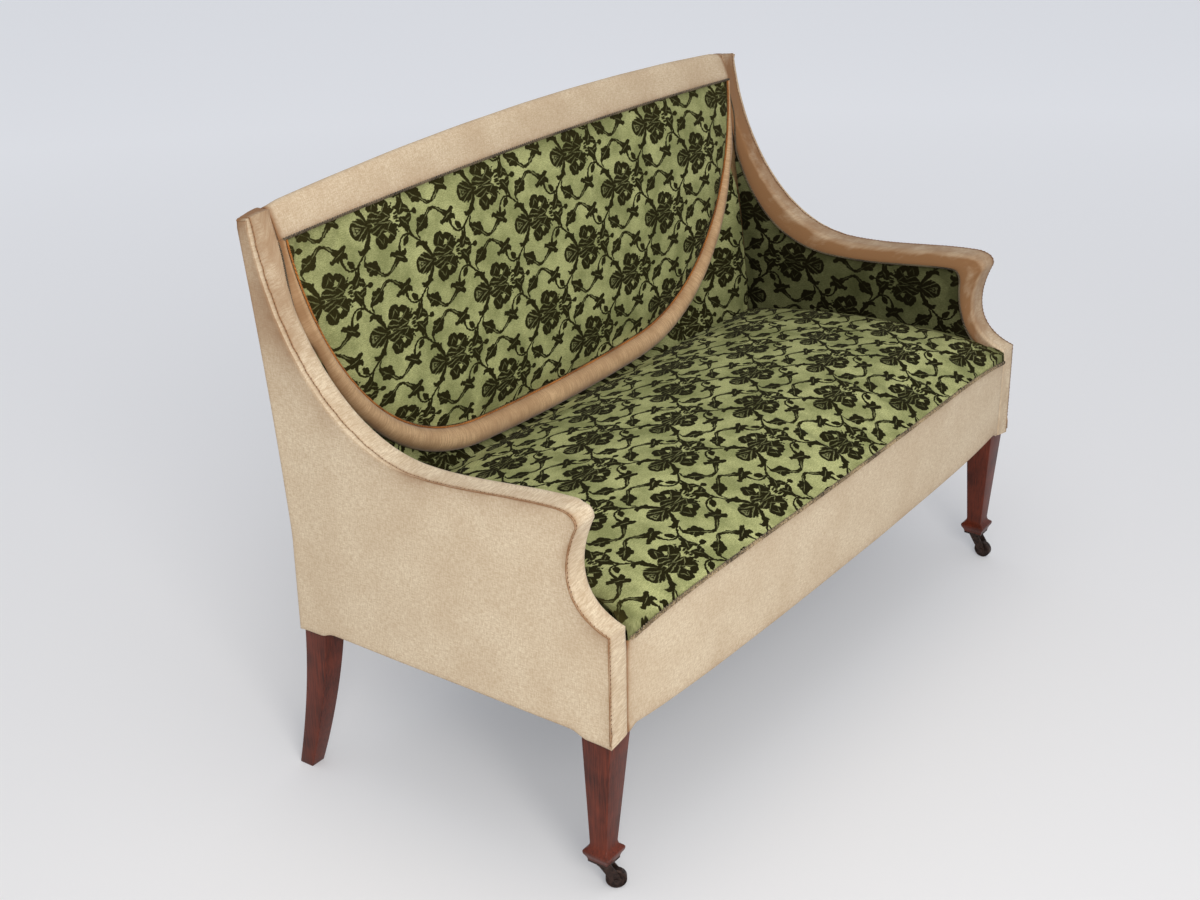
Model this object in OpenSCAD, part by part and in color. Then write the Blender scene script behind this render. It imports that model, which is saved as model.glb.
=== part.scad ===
// Two-seater sofa with swept arms: beech frame, sprung seat, velvet covers,
// square tapered front legs on casters and sabre rear legs.
// Origin: on the floor, under the centre of the frame. +X to one arm, -Y to the front, +Z up.

/* [Overall] */
// Width over the outside covers
sofa_w = 1334; // [1100:1:1800]
// Bottom of the outside covers above the floor
cover_bottom_z = 272; // [266:1:276]
// Dip of the outside covers at the corners
cover_dip = 6; // [0:0.5:6]
// Thickness of the outside covers
cover_t = 3; // [2:0.5:4]
// Clearance between a soft piece and its neighbour
soft_gap = 0.3; // [0.2:0.1:0.5]

/* [Side outline] */
// Front face of the sofa behind the bow, forward of the centre
front_y = 321; // [315:1:360]
// Front of the top of the arm, forward of the centre
nose_y = 266; // [256:1:276]
// Height of the top of the arm at the nose
arm_z = 619; // [610:1:640]
// Height of the arm at its lowest point
arm_low_z = 599; // [590:1:610]
// Height of the arm band where it meets the front
knee_z = 446; // [436:1:452]
// Height of the uprights
upright_z = 926; // [900:1:960]
// Front of the uprights at the top, behind the centre
upright_y = 315; // [305:1:325]
// Depth of the uprights at the top
upright_t = 22; // [18:1:26]
// Back of the sofa at the seat, behind the centre
back_y = 278; // [276:1:284]

/* [Arms] */
// Width of the top of the arm band
band_w = 41; // [36:1:46]
// Thickness of the arm band
band_t = 4.5; // [3:0.5:5]
// Distance from the outside to the inner face of the arm
arm_w = 67; // [62:1:72]
// Crown of the padding on the inner face of the arm
arm_crown = 11; // [6:1:11]
// Depth of the arm band on the inner face
band_lip = 30; // [24:1:34]
// Thickness of the rails in the sides
side_timber = 30; // [24:1:32]
// Depth of the arm rail
arm_rail_d = 32; // [26:1:40]
// Depth of the rear uprights at the seat
upright_d = 44; // [36:1:50]
// Depth of the back padding at the seat
back_pad_d = 49; // [44:1:60]

/* [Seat] */
// Bottom of the seat rails above the floor
rail_z = 290; // [288:1:296]
// Depth of the seat rails
rail_h = 95; // [80:1:100]
// Thickness of the front and back seat rails
rail_t = 28; // [22:1:32]
// Height of the piping line at the middle of the seat front
gimp_z = 444; // [436:1:452]
// Drop of the piping line at the ends of the seat front
gimp_drop = 19; // [8:1:22]
// Bow of the seat front
front_bow = 12; // [4:1:20]
// Height of the crown of the seat
crown_z = 497; // [480:1:510]
// Height of the seat at the arms
side_z = 470; // [460:1:474]
// Fall of the seat from its sides to the back corners
seat_fall = 44; // [36:1:50]
// Rise of the back edge of the seat from its corners to its middle
seat_back_rise = 9; // [4:1:30]
// Height of the canvas on the springs
canvas_z = 412; // [400:1:414]
// Number of springs along the seat
springs_along = 5; // [4:1:6]
// Number of rows of springs
spring_rows = 2; // [2:1:2]
// Radius of a spring at its ends
spring_r = 46; // [36:1:56]
// Thickness of the spring wire
wire_t = 4; // [3:0.5:5]
// Width of the webbing
web_w = 52; // [40:1:56]
// Thickness of the webbing
web_t = 2; // [1.5:0.1:2.2]

/* [Back] */
// Crown of the top of the back above the uprights
top_crown = 29; // [10:1:40]
// Distance from the outside of the sofa to the edge of the back panel
panel_margin = 60; // [56:1:72]
// Half the length of the straight bottom of the panel
flat_half = 232; // [180:1:260]
// Distance from the top of the uprights down to the top of the panel at its ends
panel_drop = 42; // [36:1:56]
// Rise of the top of the panel at the middle
panel_rise = 13; // [6:1:18]
// Height of the bottom of the panel
panel_low_z = 472; // [470:1:484]
// Front of the panel edge at its bottom, behind the centre
panel_low_y = 258; // [252:1:259]
// Front of the panel edge at its top, behind the centre
panel_top_y = 297; // [294:1:299]
// Crown of the panel
panel_crown = 11; // [4:1:14]
// Radius of the roll at the bottom of the panel
roll_r = 21; // [16:0.5:23]
// Radius of the roll at the top of the panel
roll_r_top = 4; // [3:0.5:8.5]
// Diameter of the cord round the panel
cord_d = 3.4; // [2:0.2:4]
// Diameter of the twisted gimps
gimp_d = 6; // [4:0.5:6]

/* [Legs] */
// Width of a front leg at the top
leg_w = 52; // [44:1:54]
// Width of a front leg at the ankle
ankle_w = 30; // [26:1:34]
// Height of the ankle above the floor
ankle_z = 79; // [74:1:90]
// Width of the spade collar
collar_w = 46; // [42:1:50]
// Height of the widest part of the collar
collar_z = 66; // [62:1:70]
// Distance from the outside of the sofa to the middle of a front foot
foot_in = 27; // [23:1:60]
// Width of a rear leg at the top
rear_leg_w = 45; // [40:1:48]
// Width of a rear leg at the floor
rear_foot_w = 27; // [24:1:32]
// Sweep of a rear leg, from its top to the floor
rear_sweep = 46; // [30:1:60]
// Splay of a rear leg to the side, from its top to the floor
rear_splay = 10; // [0:1:16]

/* [Casters] */
// Diameter of a wheel
wheel_d = 32; // [28:1:34]
// Width of a wheel
wheel_w = 13; // [10:1:14]
// Distance from the swivel pin to the axle
trail = 18; // [16:1:20]
// Diameter of an axle
axle_d = 5; // [4:0.5:6]
// Diameter of a swivel pin
pin_d = 9; // [7:0.5:10]
// Length of a swivel pin inside the leg
pin_len = 42; // [30:1:50]
// Height of the underside of the legs
leg_bottom_z = 52; // [50:1:54]
// Running clearance of the moving parts
run_gap = 0.3; // [0.2:0.05:0.4]

/* [Hidden] */

$fn = 32;
mahogany = [0.33, 0.15, 0.10];
beech = [0.78, 0.62, 0.42];
beige_velvet = [0.83, 0.75, 0.60];
green_velvet = [0.36, 0.43, 0.24];
gimp_brown = [0.45, 0.36, 0.24];
iron = [0.22, 0.17, 0.14];

// Half widths, from the outside to the inside of a side
half_w = sofa_w / 2;
cover_x = half_w - cover_t;
timber_x = cover_x - soft_gap;
pad_x = timber_x - side_timber;
band_x = half_w - band_w;
inner_x = half_w - arm_w;
lip_x = inner_x + 12;
pillow_x = lip_x + 8.2;
panel_w = half_w - panel_margin;
panel_top_z = upright_z - panel_drop;
rail_top_z = rail_z + rail_h;
seat_back_z = side_z - seat_fall;
post_bottom_z = rail_z - 6;
timber_inset = band_t + 2.5;
back_inset = 6;
wadding = 9;

// Curves
function mix(a, b, t) = a + (b - a) * t;
function bezier(a, b, c, d, t) =
    a * pow(1 - t, 3) + 3 * b * t * pow(1 - t, 2) + 3 * c * t * t * (1 - t) + d * pow(t, 3);
function bezier_points(a, b, c, d, n) = [for (i = [0 : n - 1]) bezier(a, b, c, d, i / n)];
function unit(v) = v / norm(v);
function reversed(list) = [for (i = [len(list) - 1 : -1 : 0]) list[i]];

// The top of the arm in the side view (y, z), from the upright to the front corner
top_n = 1;
sweep_n = 12;
flat_n = 6;
nose_n = 4;
knee_n = 8;
sweep_end = top_n + sweep_n;
nose_start = sweep_end + flat_n;
nose_end = nose_start + nose_n;
knee_end = nose_end + knee_n;
sweep_end_y = 24;
nose_start_y = -nose_y + 41;
outline = concat(
    [[upright_y + upright_t, upright_z - 4]],
    bezier_points([upright_y, upright_z], [upright_y - 24, upright_z - 166],
                  [sweep_end_y + 156, arm_low_z + 1], [sweep_end_y, arm_low_z], sweep_n),
    bezier_points([sweep_end_y, arm_low_z], [sweep_end_y - 84, arm_low_z - 2],
                  [nose_start_y + 75, arm_z - 2], [nose_start_y, arm_z], flat_n),
    bezier_points([nose_start_y, arm_z], [nose_start_y - 25, arm_z + 2],
                  [-nose_y - 2, arm_z - 6], [-nose_y, arm_z - 22], nose_n),
    bezier_points([-nose_y, arm_z - 22], [-nose_y + 26, arm_z - 79],
                  [-nose_y + 31, knee_z + 24], [-front_y + 3, knee_z], knee_n),
    [[-front_y + 2, knee_z], [-front_y + 1.5, knee_z - 30], [-front_y, cover_bottom_z]]
);

// The edge of the arm band on the inner face, with as many points as the outline
knee_in = [-front_y + 31, knee_z - 16];
front_hem = 5.2;
band_edge = concat(
    [[upright_y + upright_t - 1, upright_z - 10]],
    bezier_points([upright_y + 5, upright_z - 5], [upright_y - 30, upright_z - 206],
                  [sweep_end_y + 201, arm_low_z - band_lip - 9],
                  [sweep_end_y, arm_low_z - band_lip + 2], sweep_n),
    bezier_points([sweep_end_y, arm_low_z - band_lip + 2], [sweep_end_y - 74, arm_low_z - band_lip],
                  [nose_start_y + 85, arm_z - band_lip - 1], [nose_start_y + 20, arm_z - band_lip + 1],
                  flat_n),
    bezier_points([nose_start_y + 20, arm_z - band_lip + 1], [nose_start_y + 7, arm_z - band_lip + 2],
                  [-nose_y + 42, arm_z - band_lip - 9], [-nose_y + 42, arm_z - band_lip - 24], nose_n),
    bezier_points([-nose_y + 42, arm_z - band_lip - 24], [-nose_y + 44, knee_z + 64],
                  [-nose_y + 31, knee_z + 16], knee_in, knee_n),
    [[knee_in[0] - 1, knee_in[1]], [-front_y + front_hem + 1.5, knee_z - 46],
     [-front_y + front_hem, cover_bottom_z]]
);
last = len(outline) - 1;

// How far the inner edge of the band has come in from the outside, from 0 to 1
function lip_share(i) =
    i < sweep_end ? pow(max(0, i - top_n) / sweep_n, 0.7) :
    i <= nose_end ? 1 :
    i <= knee_end ? 1 - (i - nose_end) / knee_n : 0;
function inward(i) = unit(band_edge[i] - outline[i]);

// The back edge in the side view, from the bottom to the top
lean_z = seat_back_z + 4;
back_top = outline[0];
function back_y_at(z) = let (s = max(0, (z - lean_z) / (back_top[1] - lean_z)))
    back_y + (back_top[0] - back_y) * (0.72 * s + 0.28 * s * s);
back_edge = concat(
    [[back_y, cover_bottom_z]],
    [for (i = [0 : 8]) let (z = mix(lean_z, back_top[1], i / 8)) [back_y_at(z), z]]
);
back_tilt = atan((back_top[0] - back_y) / (back_top[1] - lean_z));

// The line of the piping along the seat front
function front_arc(x) = -front_y - front_bow * (1 - pow(x / band_x, 2));
function front_top(x) = gimp_z - gimp_drop * pow(abs(x) / band_x, 6);
function front_bottom(x) = cover_bottom_z - 2 + 12 * pow(abs(x) / band_x, 8);

// The edge of the back panel in the front view (x, z), from one top corner to the other
panel_n = 14;
panel_side = bezier_points([panel_w, panel_top_z - 3], [panel_w - 19, panel_top_z - 189],
                           [flat_half + 238, panel_low_z + 18], [flat_half, panel_low_z + 6], panel_n);
panel_flat = [for (x = [flat_half : -flat_half / 3 : 1]) [x, panel_low_z + 6 * pow(x / flat_half, 2)]];
panel_half = concat(panel_side, panel_flat);
panel_edge = concat(panel_half, [[0, panel_low_z]],
                    [for (p = reversed(panel_half)) [-p[0], p[1]]]);
panel_last = len(panel_edge) - 1;
function panel_top(x) = panel_top_z + panel_rise * (1 - pow(x / panel_w, 2));
function panel_y(z) = let (s = (z - panel_low_z) / (panel_top_z - panel_low_z))
    panel_low_y + (panel_top_y - panel_low_y) * (0.4 * s + 0.6 * s * abs(s));
function panel_outward(i) = let (a = panel_edge[max(i - 1, 0)], b = panel_edge[min(i + 1, panel_last)],
    d = unit(b - a)) [-d[1], d[0]];
function roll_r_at(z) = let (s = (z - panel_low_z) / (panel_top_z - panel_low_z))
    mix(roll_r, roll_r_top, min(1, max(0, s) / 0.85));

// Corner between the back and the arm, in the side view
function corner_y(z) = let (up = z - seat_back_z) seat_back_y + 0.105 * up + 0.00013 * pow(max(0, up), 2);

// Places of the legs and casters
leg_top_x = timber_x - leg_w / 2 - 3;
leg_top_y = -front_y + 5.5 + leg_w / 2;
foot_x = half_w - foot_in;
foot_y = leg_top_y + 2;
rear_top_x = timber_x - rear_leg_w / 2 - 3;
rear_top_y = back_y - 5 - rear_leg_w / 2;
dowel_x = (pad_x + timber_x) / 2;
rear_foot_x = rear_top_x + rear_splay;
rear_foot_y = rear_top_y + rear_sweep;
dowel_d = 12;
dowel_len = 60;
dowel_fit = 0.1;
plate_t = 3;
plate_w = 34;
axle_z = wheel_d / 2;
cheek_t = 3;
cheek_gap = 0.6;
crown_d = 24;
crown_h = 6;
crown_top_z = leg_bottom_z - plate_t - run_gap;
caster_turn_left = 306;
caster_turn_right = 270;
seat_back_y = back_y - back_pad_d;
seat_half = inner_x - 0.5;

// Draws an outline given in the side view (y, z) from one x to another
module across(x_from, x_to) {
    translate([x_from, 0, 0]) rotate([90, 0, 90]) linear_extrude(x_to - x_from) children();
}

// Draws an outline given in the front view (x, z) from one y to another
module along_y(y_from, y_to) {
    translate([0, y_to, 0]) rotate([90, 0, 0]) linear_extrude(y_to - y_from) children();
}

module left_hand() {
    mirror([1, 0, 0]) children();
}

// A closed slab between two grids of points with the same counts. The first grid's rows and
// columns run anticlockwise as seen from outside.
module slab(front, back) {
    m = len(front);
    n = len(front[0]);
    points = concat([for (row = front) each row], [for (row = back) each row]);
    k = m * n;
    faces = [
        for (i = [0 : m - 2], j = [0 : n - 2])
            let (a = i * n + j, b = a + 1, c = a + n + 1, d = a + n)
            each [[a, b, c], [a, c, d], [k + a, k + c, k + b], [k + a, k + d, k + c]],
        for (i = [0 : m - 2], j = [0, n - 1])
            let (a = i * n + j, d = a + n)
            each (j == 0 ? [[a, d, k + d], [a, k + d, k + a]] : [[a, k + d, d], [a, k + a, k + d]]),
        for (j = [0 : n - 2], i = [0, m - 1])
            let (a = i * n + j, b = a + 1)
            each (i == 0 ? [[a, k + b, b], [a, k + a, k + b]] : [[a, b, k + b], [a, k + b, k + a]])
    ];
    polyhedron(points, faces);
}

// A closed tube through rings of points with the same counts
module tube(rings) {
    m = len(rings);
    n = len(rings[0]);
    points = [for (ring = rings) each ring];
    faces = [
        for (i = [0 : m - 2], j = [0 : n - 1])
            let (a = i * n + j, b = i * n + (j + 1) % n, c = b + n, d = a + n)
            each [[a, b, c], [a, c, d]],
        for (j = [1 : n - 2]) each [[0, j + 1, j], [(m - 1) * n, (m - 1) * n + j, (m - 1) * n + j + 1]]
    ];
    polyhedron(points, faces);
}

// A cord of one radius through a list of points, with its rings square to the path
function cord_rings(path, r, sides, up) = [
    for (i = [0 : len(path) - 1])
        let (
            dir = unit(path[min(i + 1, len(path) - 1)] - path[max(i - 1, 0)]),
            side = unit(cross(dir, up)),
            top = cross(side, dir)
        )
        [for (k = [0 : sides - 1]) path[i] + r * (cos(360 * k / sides) * side + sin(360 * k / sides) * top)]
];

// Frame

// The shape of a side behind the band, in the side view
module side_blank() {
    polygon(concat(
        [for (i = [1 : last - 1]) outline[i] + inward(i) * timber_inset],
        [[-front_y + timber_inset, post_bottom_z]],
        [[back_y - back_inset, post_bottom_z]],
        [for (i = [1 : len(back_edge) - 2]) back_edge[i] - [back_inset, 0]],
        [[back_top[0] - back_inset, back_top[1] - timber_inset]]
    ));
}

post_back_y = leg_top_y + leg_w / 2 + 1;
post_top_y = -nose_y + 61;

module front_post_region() {
    polygon([
        [-front_y - 5, post_bottom_z], [post_back_y, post_bottom_z], [post_back_y, knee_z - 6],
        [post_top_y, knee_z + 74], [post_top_y, arm_z + 10], [-front_y - 5, arm_z + 10]
    ]);
}

upright_front_y = back_y - back_inset - upright_d;
upright_bend_z = lean_z;

module back_post_region() {
    polygon([
        [upright_front_y, post_bottom_z], [back_y + 100, post_bottom_z],
        [back_y + 100, upright_z + 10], [upright_front_y + (upright_z + 10 - upright_bend_z) * tan(back_tilt),
        upright_z + 10], [upright_front_y, upright_bend_z]
    ]);
}

module dowel_hole() {
    cylinder(d = dowel_d + 2 * dowel_fit, h = dowel_len + 1, center = true);
}

module front_post() {
    difference() {
        intersection() {
            across(pad_x, timber_x) side_blank();
            across(pad_x - 1, timber_x + 1) front_post_region();
        }
        translate([dowel_x, leg_top_y, post_bottom_z]) dowel_hole();
    }
}

module back_post() {
    difference() {
        intersection() {
            across(pad_x, timber_x) side_blank();
            across(pad_x - 1, timber_x + 1) back_post_region();
        }
        translate([dowel_x, rear_top_y, post_bottom_z]) dowel_hole();
    }
}

module arm_rail() {
    difference() {
        across(pad_x, timber_x) side_blank();
        across(pad_x - 1, timber_x + 1) translate([arm_rail_d * 0.7, -arm_rail_d]) side_blank();
        across(pad_x - 1, timber_x + 1) front_post_region();
        across(pad_x - 1, timber_x + 1) back_post_region();
        across(pad_x - 1, timber_x + 1)
            translate([post_top_y, rail_z - 20])
                square([2 * back_y, arm_low_z - arm_rail_d - 40 - rail_z]);
    }
}

front_rail_y = -front_y + 10;
back_rail_y = back_y - back_inset - rail_t;
rail_inside_front = front_rail_y + rail_t;

module side_rail() {
    difference() {
        translate([pad_x, post_back_y, rail_z]) cube([side_timber, upright_front_y - post_back_y, rail_h]);
        four_corners() block_screw_places() block_screw_hole();
    }
}

module front_seat_rail() {
    color(beech)
    difference() {
        translate([-pad_x, front_rail_y, rail_z]) cube([2 * pad_x, rail_t, rail_h]);
        four_corners() block_screw_places() block_screw_hole();
    }
}

module back_seat_rail() {
    color(beech)
    difference() {
        translate([-pad_x, back_rail_y, rail_z]) cube([2 * pad_x, rail_t, rail_h]);
        four_corners() block_screw_places() block_screw_hole();
    }
}

// Corner blocks, glued and screwed inside the seat rails
block_leg = 70;
block_h = 30;
block_z = rail_z + 20;
screw_d = 5;
screw_len = 42;
screw_out = 22;
screw_along = 45;

// Draws the front right corner at all four corners of the seat
module four_corners() {
    for (side = [0, 1]) mirror([side, 0, 0]) {
        children();
        translate([0, rail_inside_front + back_rail_y, 0]) mirror([0, 1, 0]) children();
    }
}

module block_screw_places() {
    translate([pad_x - screw_out, rail_inside_front + screw_along, block_z + block_h / 2])
        rotate([0, 90, 0]) children();
    translate([pad_x - screw_along, rail_inside_front + screw_out, block_z + block_h / 2])
        rotate([90, 0, 0]) children();
}

module block_screw_hole() {
    translate([0, 0, -10]) cylinder(d = screw_d + 2 * dowel_fit, h = screw_len + 11);
}

module corner_block() {
    difference() {
        translate([0, 0, block_z]) linear_extrude(block_h)
            polygon([[pad_x, rail_inside_front], [pad_x, rail_inside_front + block_leg],
                     [pad_x - block_leg, rail_inside_front]]);
        block_screw_places() block_screw_hole();
    }
}

module block_screws() {
    color("gray") four_corners() block_screw_places() cylinder(d = screw_d, h = screw_len);
}

// Seat

web_long_n = 4;
web_cross_n = 8;
web_end = 110;
web_tack = 20;
web_low_z = rail_z - 2 * web_t - 2 * soft_gap;

module seat_webbing() {
    color([0.62, 0.55, 0.42]) {
        for (i = [0 : web_long_n - 1])
            let (y = mix(rail_inside_front + web_w, back_rail_y - web_w, i / (web_long_n - 1)))
            translate([-pad_x - web_tack, y - web_w / 2, rail_z - web_t - soft_gap])
                cube([2 * (pad_x + web_tack), web_w, web_t]);
        for (i = [0 : web_cross_n - 1])
            let (x = mix(-inner_x + web_end, inner_x - web_end, i / (web_cross_n - 1)))
            translate([x - web_w / 2, front_rail_y + 4, web_low_z])
                cube([web_w, back_rail_y + rail_t - front_rail_y - 8, web_t]);
    }
}

// One waisted spring, standing on the webbing
spring_turns = 4;
spring_steps = 9;
spring_sides = 4;
spring_waist = 0.62;
spring_end = 160;
spring_front = 90;
spring_behind = 150;
spring_base_z = rail_z + soft_gap + wire_t / 2;
spring_top_z = canvas_z - soft_gap - wire_t / 2;

module spring() {
    n = spring_turns * spring_steps;
    path = [for (i = [0 : n]) let (t = i / n, a = 360 * spring_turns * t,
                                   r = spring_r * mix(spring_waist, 1, pow(abs(2 * t - 1), 1.5)))
            [r * cos(a), r * sin(a), mix(spring_base_z, spring_top_z, t)]];
    tube(cord_rings(path, wire_t / 2, spring_sides, [0, 0, 1]));
}

module seat_springs() {
    color("silver")
    for (i = [0 : springs_along - 1], j = [0 : spring_rows - 1])
        translate([mix(-inner_x + spring_end, inner_x - spring_end, i / (springs_along - 1)),
                   mix(rail_inside_front + spring_front, back_rail_y - spring_behind, j / (spring_rows - 1)),
                   0]) spring();
}

canvas_t = 2;
module spring_canvas() {
    color([0.70, 0.62, 0.46])
    translate([-inner_x + 4, front_rail_y + 6, canvas_z])
        cube([2 * inner_x - 8, seat_back_y - front_rail_y - 10, canvas_t]);
}

// The top of the seat: u runs from arm to arm (-1 to 1), v from the front to the back (0 to 1)
crown_fall = crown_z - seat_back_z - seat_back_rise;
front_rise = 16;
seat_nu = 18;
seat_nv = 14;
function seat_w_at(v) = seat_half + (band_x - seat_half - 2) * pow(1 - v, 10);
function seat_y_at(u, v) = mix(front_arc(u * band_x), seat_back_y - 2 * soft_gap, v);
function seat_side_z(v) = side_z - (side_z - front_top(band_x) - front_rise) * pow(1 - v, 9)
    - seat_fall * pow(v, 3.2);
function seat_mid_z(v) = crown_z - (crown_z - gimp_z) * pow(1 - v, 6) - crown_fall * pow(v, 3);
function seat_z_at(u, v) = v == 0 ? front_top(u * band_x) :
    mix(seat_side_z(v), seat_mid_z(v), 1 - pow(abs(u), 2.4));
function seat_rows(drop, draw_in) = [
    for (j = [0 : seat_nv]) let (v = pow(j / seat_nv, 1.35))
        [for (i = [0 : seat_nu]) let (s = 2 * i / seat_nu - 1, u = sign(s) * (1 - pow(1 - abs(s), 1.25)))
            [u * (seat_w_at(v) - draw_in), seat_y_at(u, v) + draw_in * (1 - 2 * v),
             seat_z_at(u, v) - drop]]
];
seat_skin = 3;
stuffing_z = canvas_z + canvas_t + soft_gap;

module seat_cover() {
    color(green_velvet) slab(seat_rows(seat_skin, 0), seat_rows(0, 0));
}

module seat_stuffing() {
    rows = seat_rows(seat_skin + soft_gap, wadding);
    floor_rows = [for (row = rows) [for (p = row) [p[0], p[1], min(stuffing_z, p[2] - 3)]]];
    color([0.45, 0.36, 0.26]) slab(floor_rows, rows);
}

// The stitched edge between the front rail and the piping
module seat_front_edge() {
    color([0.66, 0.58, 0.42])
    translate([0, 0, rail_top_z]) linear_extrude(canvas_z - rail_top_z - soft_gap)
        polygon(concat(
            [for (i = [0 : 12]) let (x = mix(-pillow_x, pillow_x, i / 12)) [x, front_arc(x) + 8]],
            [[pillow_x, rail_inside_front], [-pillow_x, rail_inside_front]]
        ));
}

border_t = 5;
border_half = band_x - soft_gap;

module front_border() {
    color(beige_velvet)
    intersection() {
        translate([0, 0, cover_bottom_z - 10]) linear_extrude(gimp_z - cover_bottom_z + 20)
            polygon(concat(
                [for (i = [0 : 16]) let (x = mix(-border_half, border_half, i / 16)) [x, front_arc(x)]],
                [for (i = [16 : -1 : 0]) let (x = mix(-border_half, border_half, i / 16))
                    [x, front_arc(x) + border_t]]
            ));
        along_y(-front_y - front_bow - 10, -front_y + border_t + 10)
            polygon(concat(
                [for (i = [0 : 24]) let (x = mix(-band_x, band_x, i / 24))
                    [x, front_top(x) - seat_skin - 2 * soft_gap]],
                [for (i = [24 : -1 : 0]) let (x = mix(-band_x, band_x, i / 24)) [x, front_bottom(x)]]
            ));
    }
}

module seat_gimp() {
    r = gimp_d / 2;
    path = [for (i = [0 : 40]) let (x = mix(-border_half + 1, border_half - 1, i / 40))
        [x, front_arc(x) - r - soft_gap, front_top(x) - 1]];
    color(gimp_brown) tube(cord_rings(path, r, 6, [0, 0, 1]));
}

module dust_cover() {
    t = 1;
    w = timber_x - 4;
    notch = leg_w + 8;
    y0 = -front_y + 8;
    y1 = back_y - 6;
    color([0.25, 0.22, 0.20])
    translate([0, 0, web_low_z - soft_gap - t]) linear_extrude(t)
        polygon([
            [-w + notch, y0], [w - notch, y0], [w - notch, y0 + notch], [w, y0 + notch],
            [w, y1 - notch], [w - notch, y1 - notch], [w - notch, y1], [-w + notch, y1],
            [-w + notch, y1 - notch], [-w, y1 - notch], [-w, y0 + notch], [-w + notch, y0 + notch]
        ]);
}

// Back

top_rail_t = 13;
top_inset = 5;
function top_z(x) = upright_z + 4 + top_crown * (1 - pow(x / half_w, 2));

module top_rail() {
    color(beech)
    intersection() {
        along_y(back_y, back_y + 100)
            polygon(concat(
                [[pad_x, panel_top_z - 8], [-pad_x, panel_top_z - 8]],
                [[-pad_x, upright_z - 32], [-band_x + 3, upright_z - 32]],
                [for (i = [0 : 24]) let (x = mix(-band_x + 3, band_x - 3, i / 24)) [x, top_z(x) - 9]],
                [[band_x - 3, upright_z - 32], [pad_x, upright_z - 32]]
            ));
        across(-pad_x, pad_x) polygon([
            for (q = [[panel_top_z - 20, 0], [upright_z + 60, 0], [upright_z + 60, 1], [panel_top_z - 20, 1]])
                [back_y_at(q[0]) - top_inset - q[1] * top_rail_t, q[0]]
        ]);
    }
}

lower_rail_h = 60;
lower_rail_t = 10;
lower_rail_z = seat_back_z - 1;
lower_rail_top = lower_rail_z + lower_rail_h;
lower_inset = 4;
module lower_back_rail() {
    color(beech)
    across(-pad_x, pad_x) polygon([
        for (q = [[lower_rail_z, 0], [lower_rail_top, 0], [lower_rail_top, 1], [lower_rail_z, 1]])
            [back_y_at(q[0]) - lower_inset - q[1] * lower_rail_t, q[0]]
    ]);
}

// Rear face of the straps: along the lower rail, then straight up to the top rail
rail_face_low = back_y_at(lower_rail_top) - lower_inset - lower_rail_t;
rail_face_top = back_y_at(panel_top_z) - top_inset - top_rail_t;
function strap_y(z) = -soft_gap + (z < lower_rail_top
    ? back_y_at(z) - lower_inset - lower_rail_t
    : mix(rail_face_low, rail_face_top, (z - lower_rail_top) / (panel_top_z - lower_rail_top)));
function strap_front(z) = strap_y(z) - web_t - soft_gap;

module outer_back_cover() {
    t = 2.5;
    color(beige_velvet)
    intersection() {
        across(-cover_x + soft_gap, cover_x - soft_gap) polygon(concat(
            back_edge, [back_top + [4, 34]], [back_top + [4 - t, 34]],
            [for (p = reversed(back_edge)) p - [t, 0]]
        ));
        along_y(back_y - 50, back_y + 120)
            polygon(concat(
                [[half_w, cover_bottom_z + 1], [-half_w, cover_bottom_z + 1]],
                [[-half_w, upright_z - 12], [-band_x, upright_z - 12]],
                [for (i = [0 : 24]) let (x = mix(-band_x, band_x, i / 24)) [x, top_z(x) - 9]],
                [[band_x, upright_z - 12], [half_w, upright_z - 12]]
            ));
    }
}

// Upright straps on the back, tacked to the front of the top rail and the lower rail
back_web_n = 7;
back_web_end = 191;
module back_webbing() {
    color([0.62, 0.55, 0.42])
    for (i = [0 : back_web_n - 1])
        let (x = mix(back_web_end - panel_w, panel_w - back_web_end, i / (back_web_n - 1)))
        across(x - web_w / 2, x + web_w / 2) polygon([
            for (q = [[lower_rail_z + 12, 0], [lower_rail_top, 0], [panel_top_z, 0],
                      [panel_top_z, 1], [lower_rail_top, 1], [lower_rail_z + 12, 1]])
                [strap_y(q[0]) - q[1] * web_t, q[0]]
        ]);
}

// The panel: columns run round its edge, rows from the edge to the top
panel_rows_n = 7;
panel_cover_t = 3;
function panel_point(i, j, depth, crown) = let (
    e = panel_edge[i],
    s = j / panel_rows_n,
    z = mix(e[1], panel_top(e[0]), s),
    side = 1 - pow(abs(e[0]) / panel_w, 4),
    bulge = crown * side * (1 - pow(abs(2 * s - 1), 3))
) [e[0], panel_y(z) - bulge + depth, z];
function panel_grid(depth, crown) = [
    for (j = [0 : panel_rows_n]) [for (i = [0 : panel_last]) panel_point(i, j, depth, crown)]
];

module back_panel_cover() {
    color(green_velvet) slab(panel_grid(0, panel_crown), panel_grid(panel_cover_t, panel_crown));
}

module back_stuffing() {
    front = panel_grid(panel_cover_t + soft_gap, panel_crown);
    color([0.45, 0.36, 0.26])
        slab(front, [for (row = front) [for (p = row) [p[0], max(strap_front(p[2]), p[1] + 2), p[2]]]]);
}

// A line just outside the edge of the panel, at a distance and a depth
function edge_path(from, to, out, depth) = [
    for (i = [from : to]) let (e = panel_edge[i], d = e + panel_outward(i) * out)
        [d[0], panel_y(d[1]) + depth, d[1]]
];

module panel_cord() {
    r = cord_d / 2;
    color([0.80, 0.45, 0.15])
        tube(cord_rings(edge_path(0, panel_last, r + 0.2, -r), r, 6, [0, 1, 0]));
}

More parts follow.
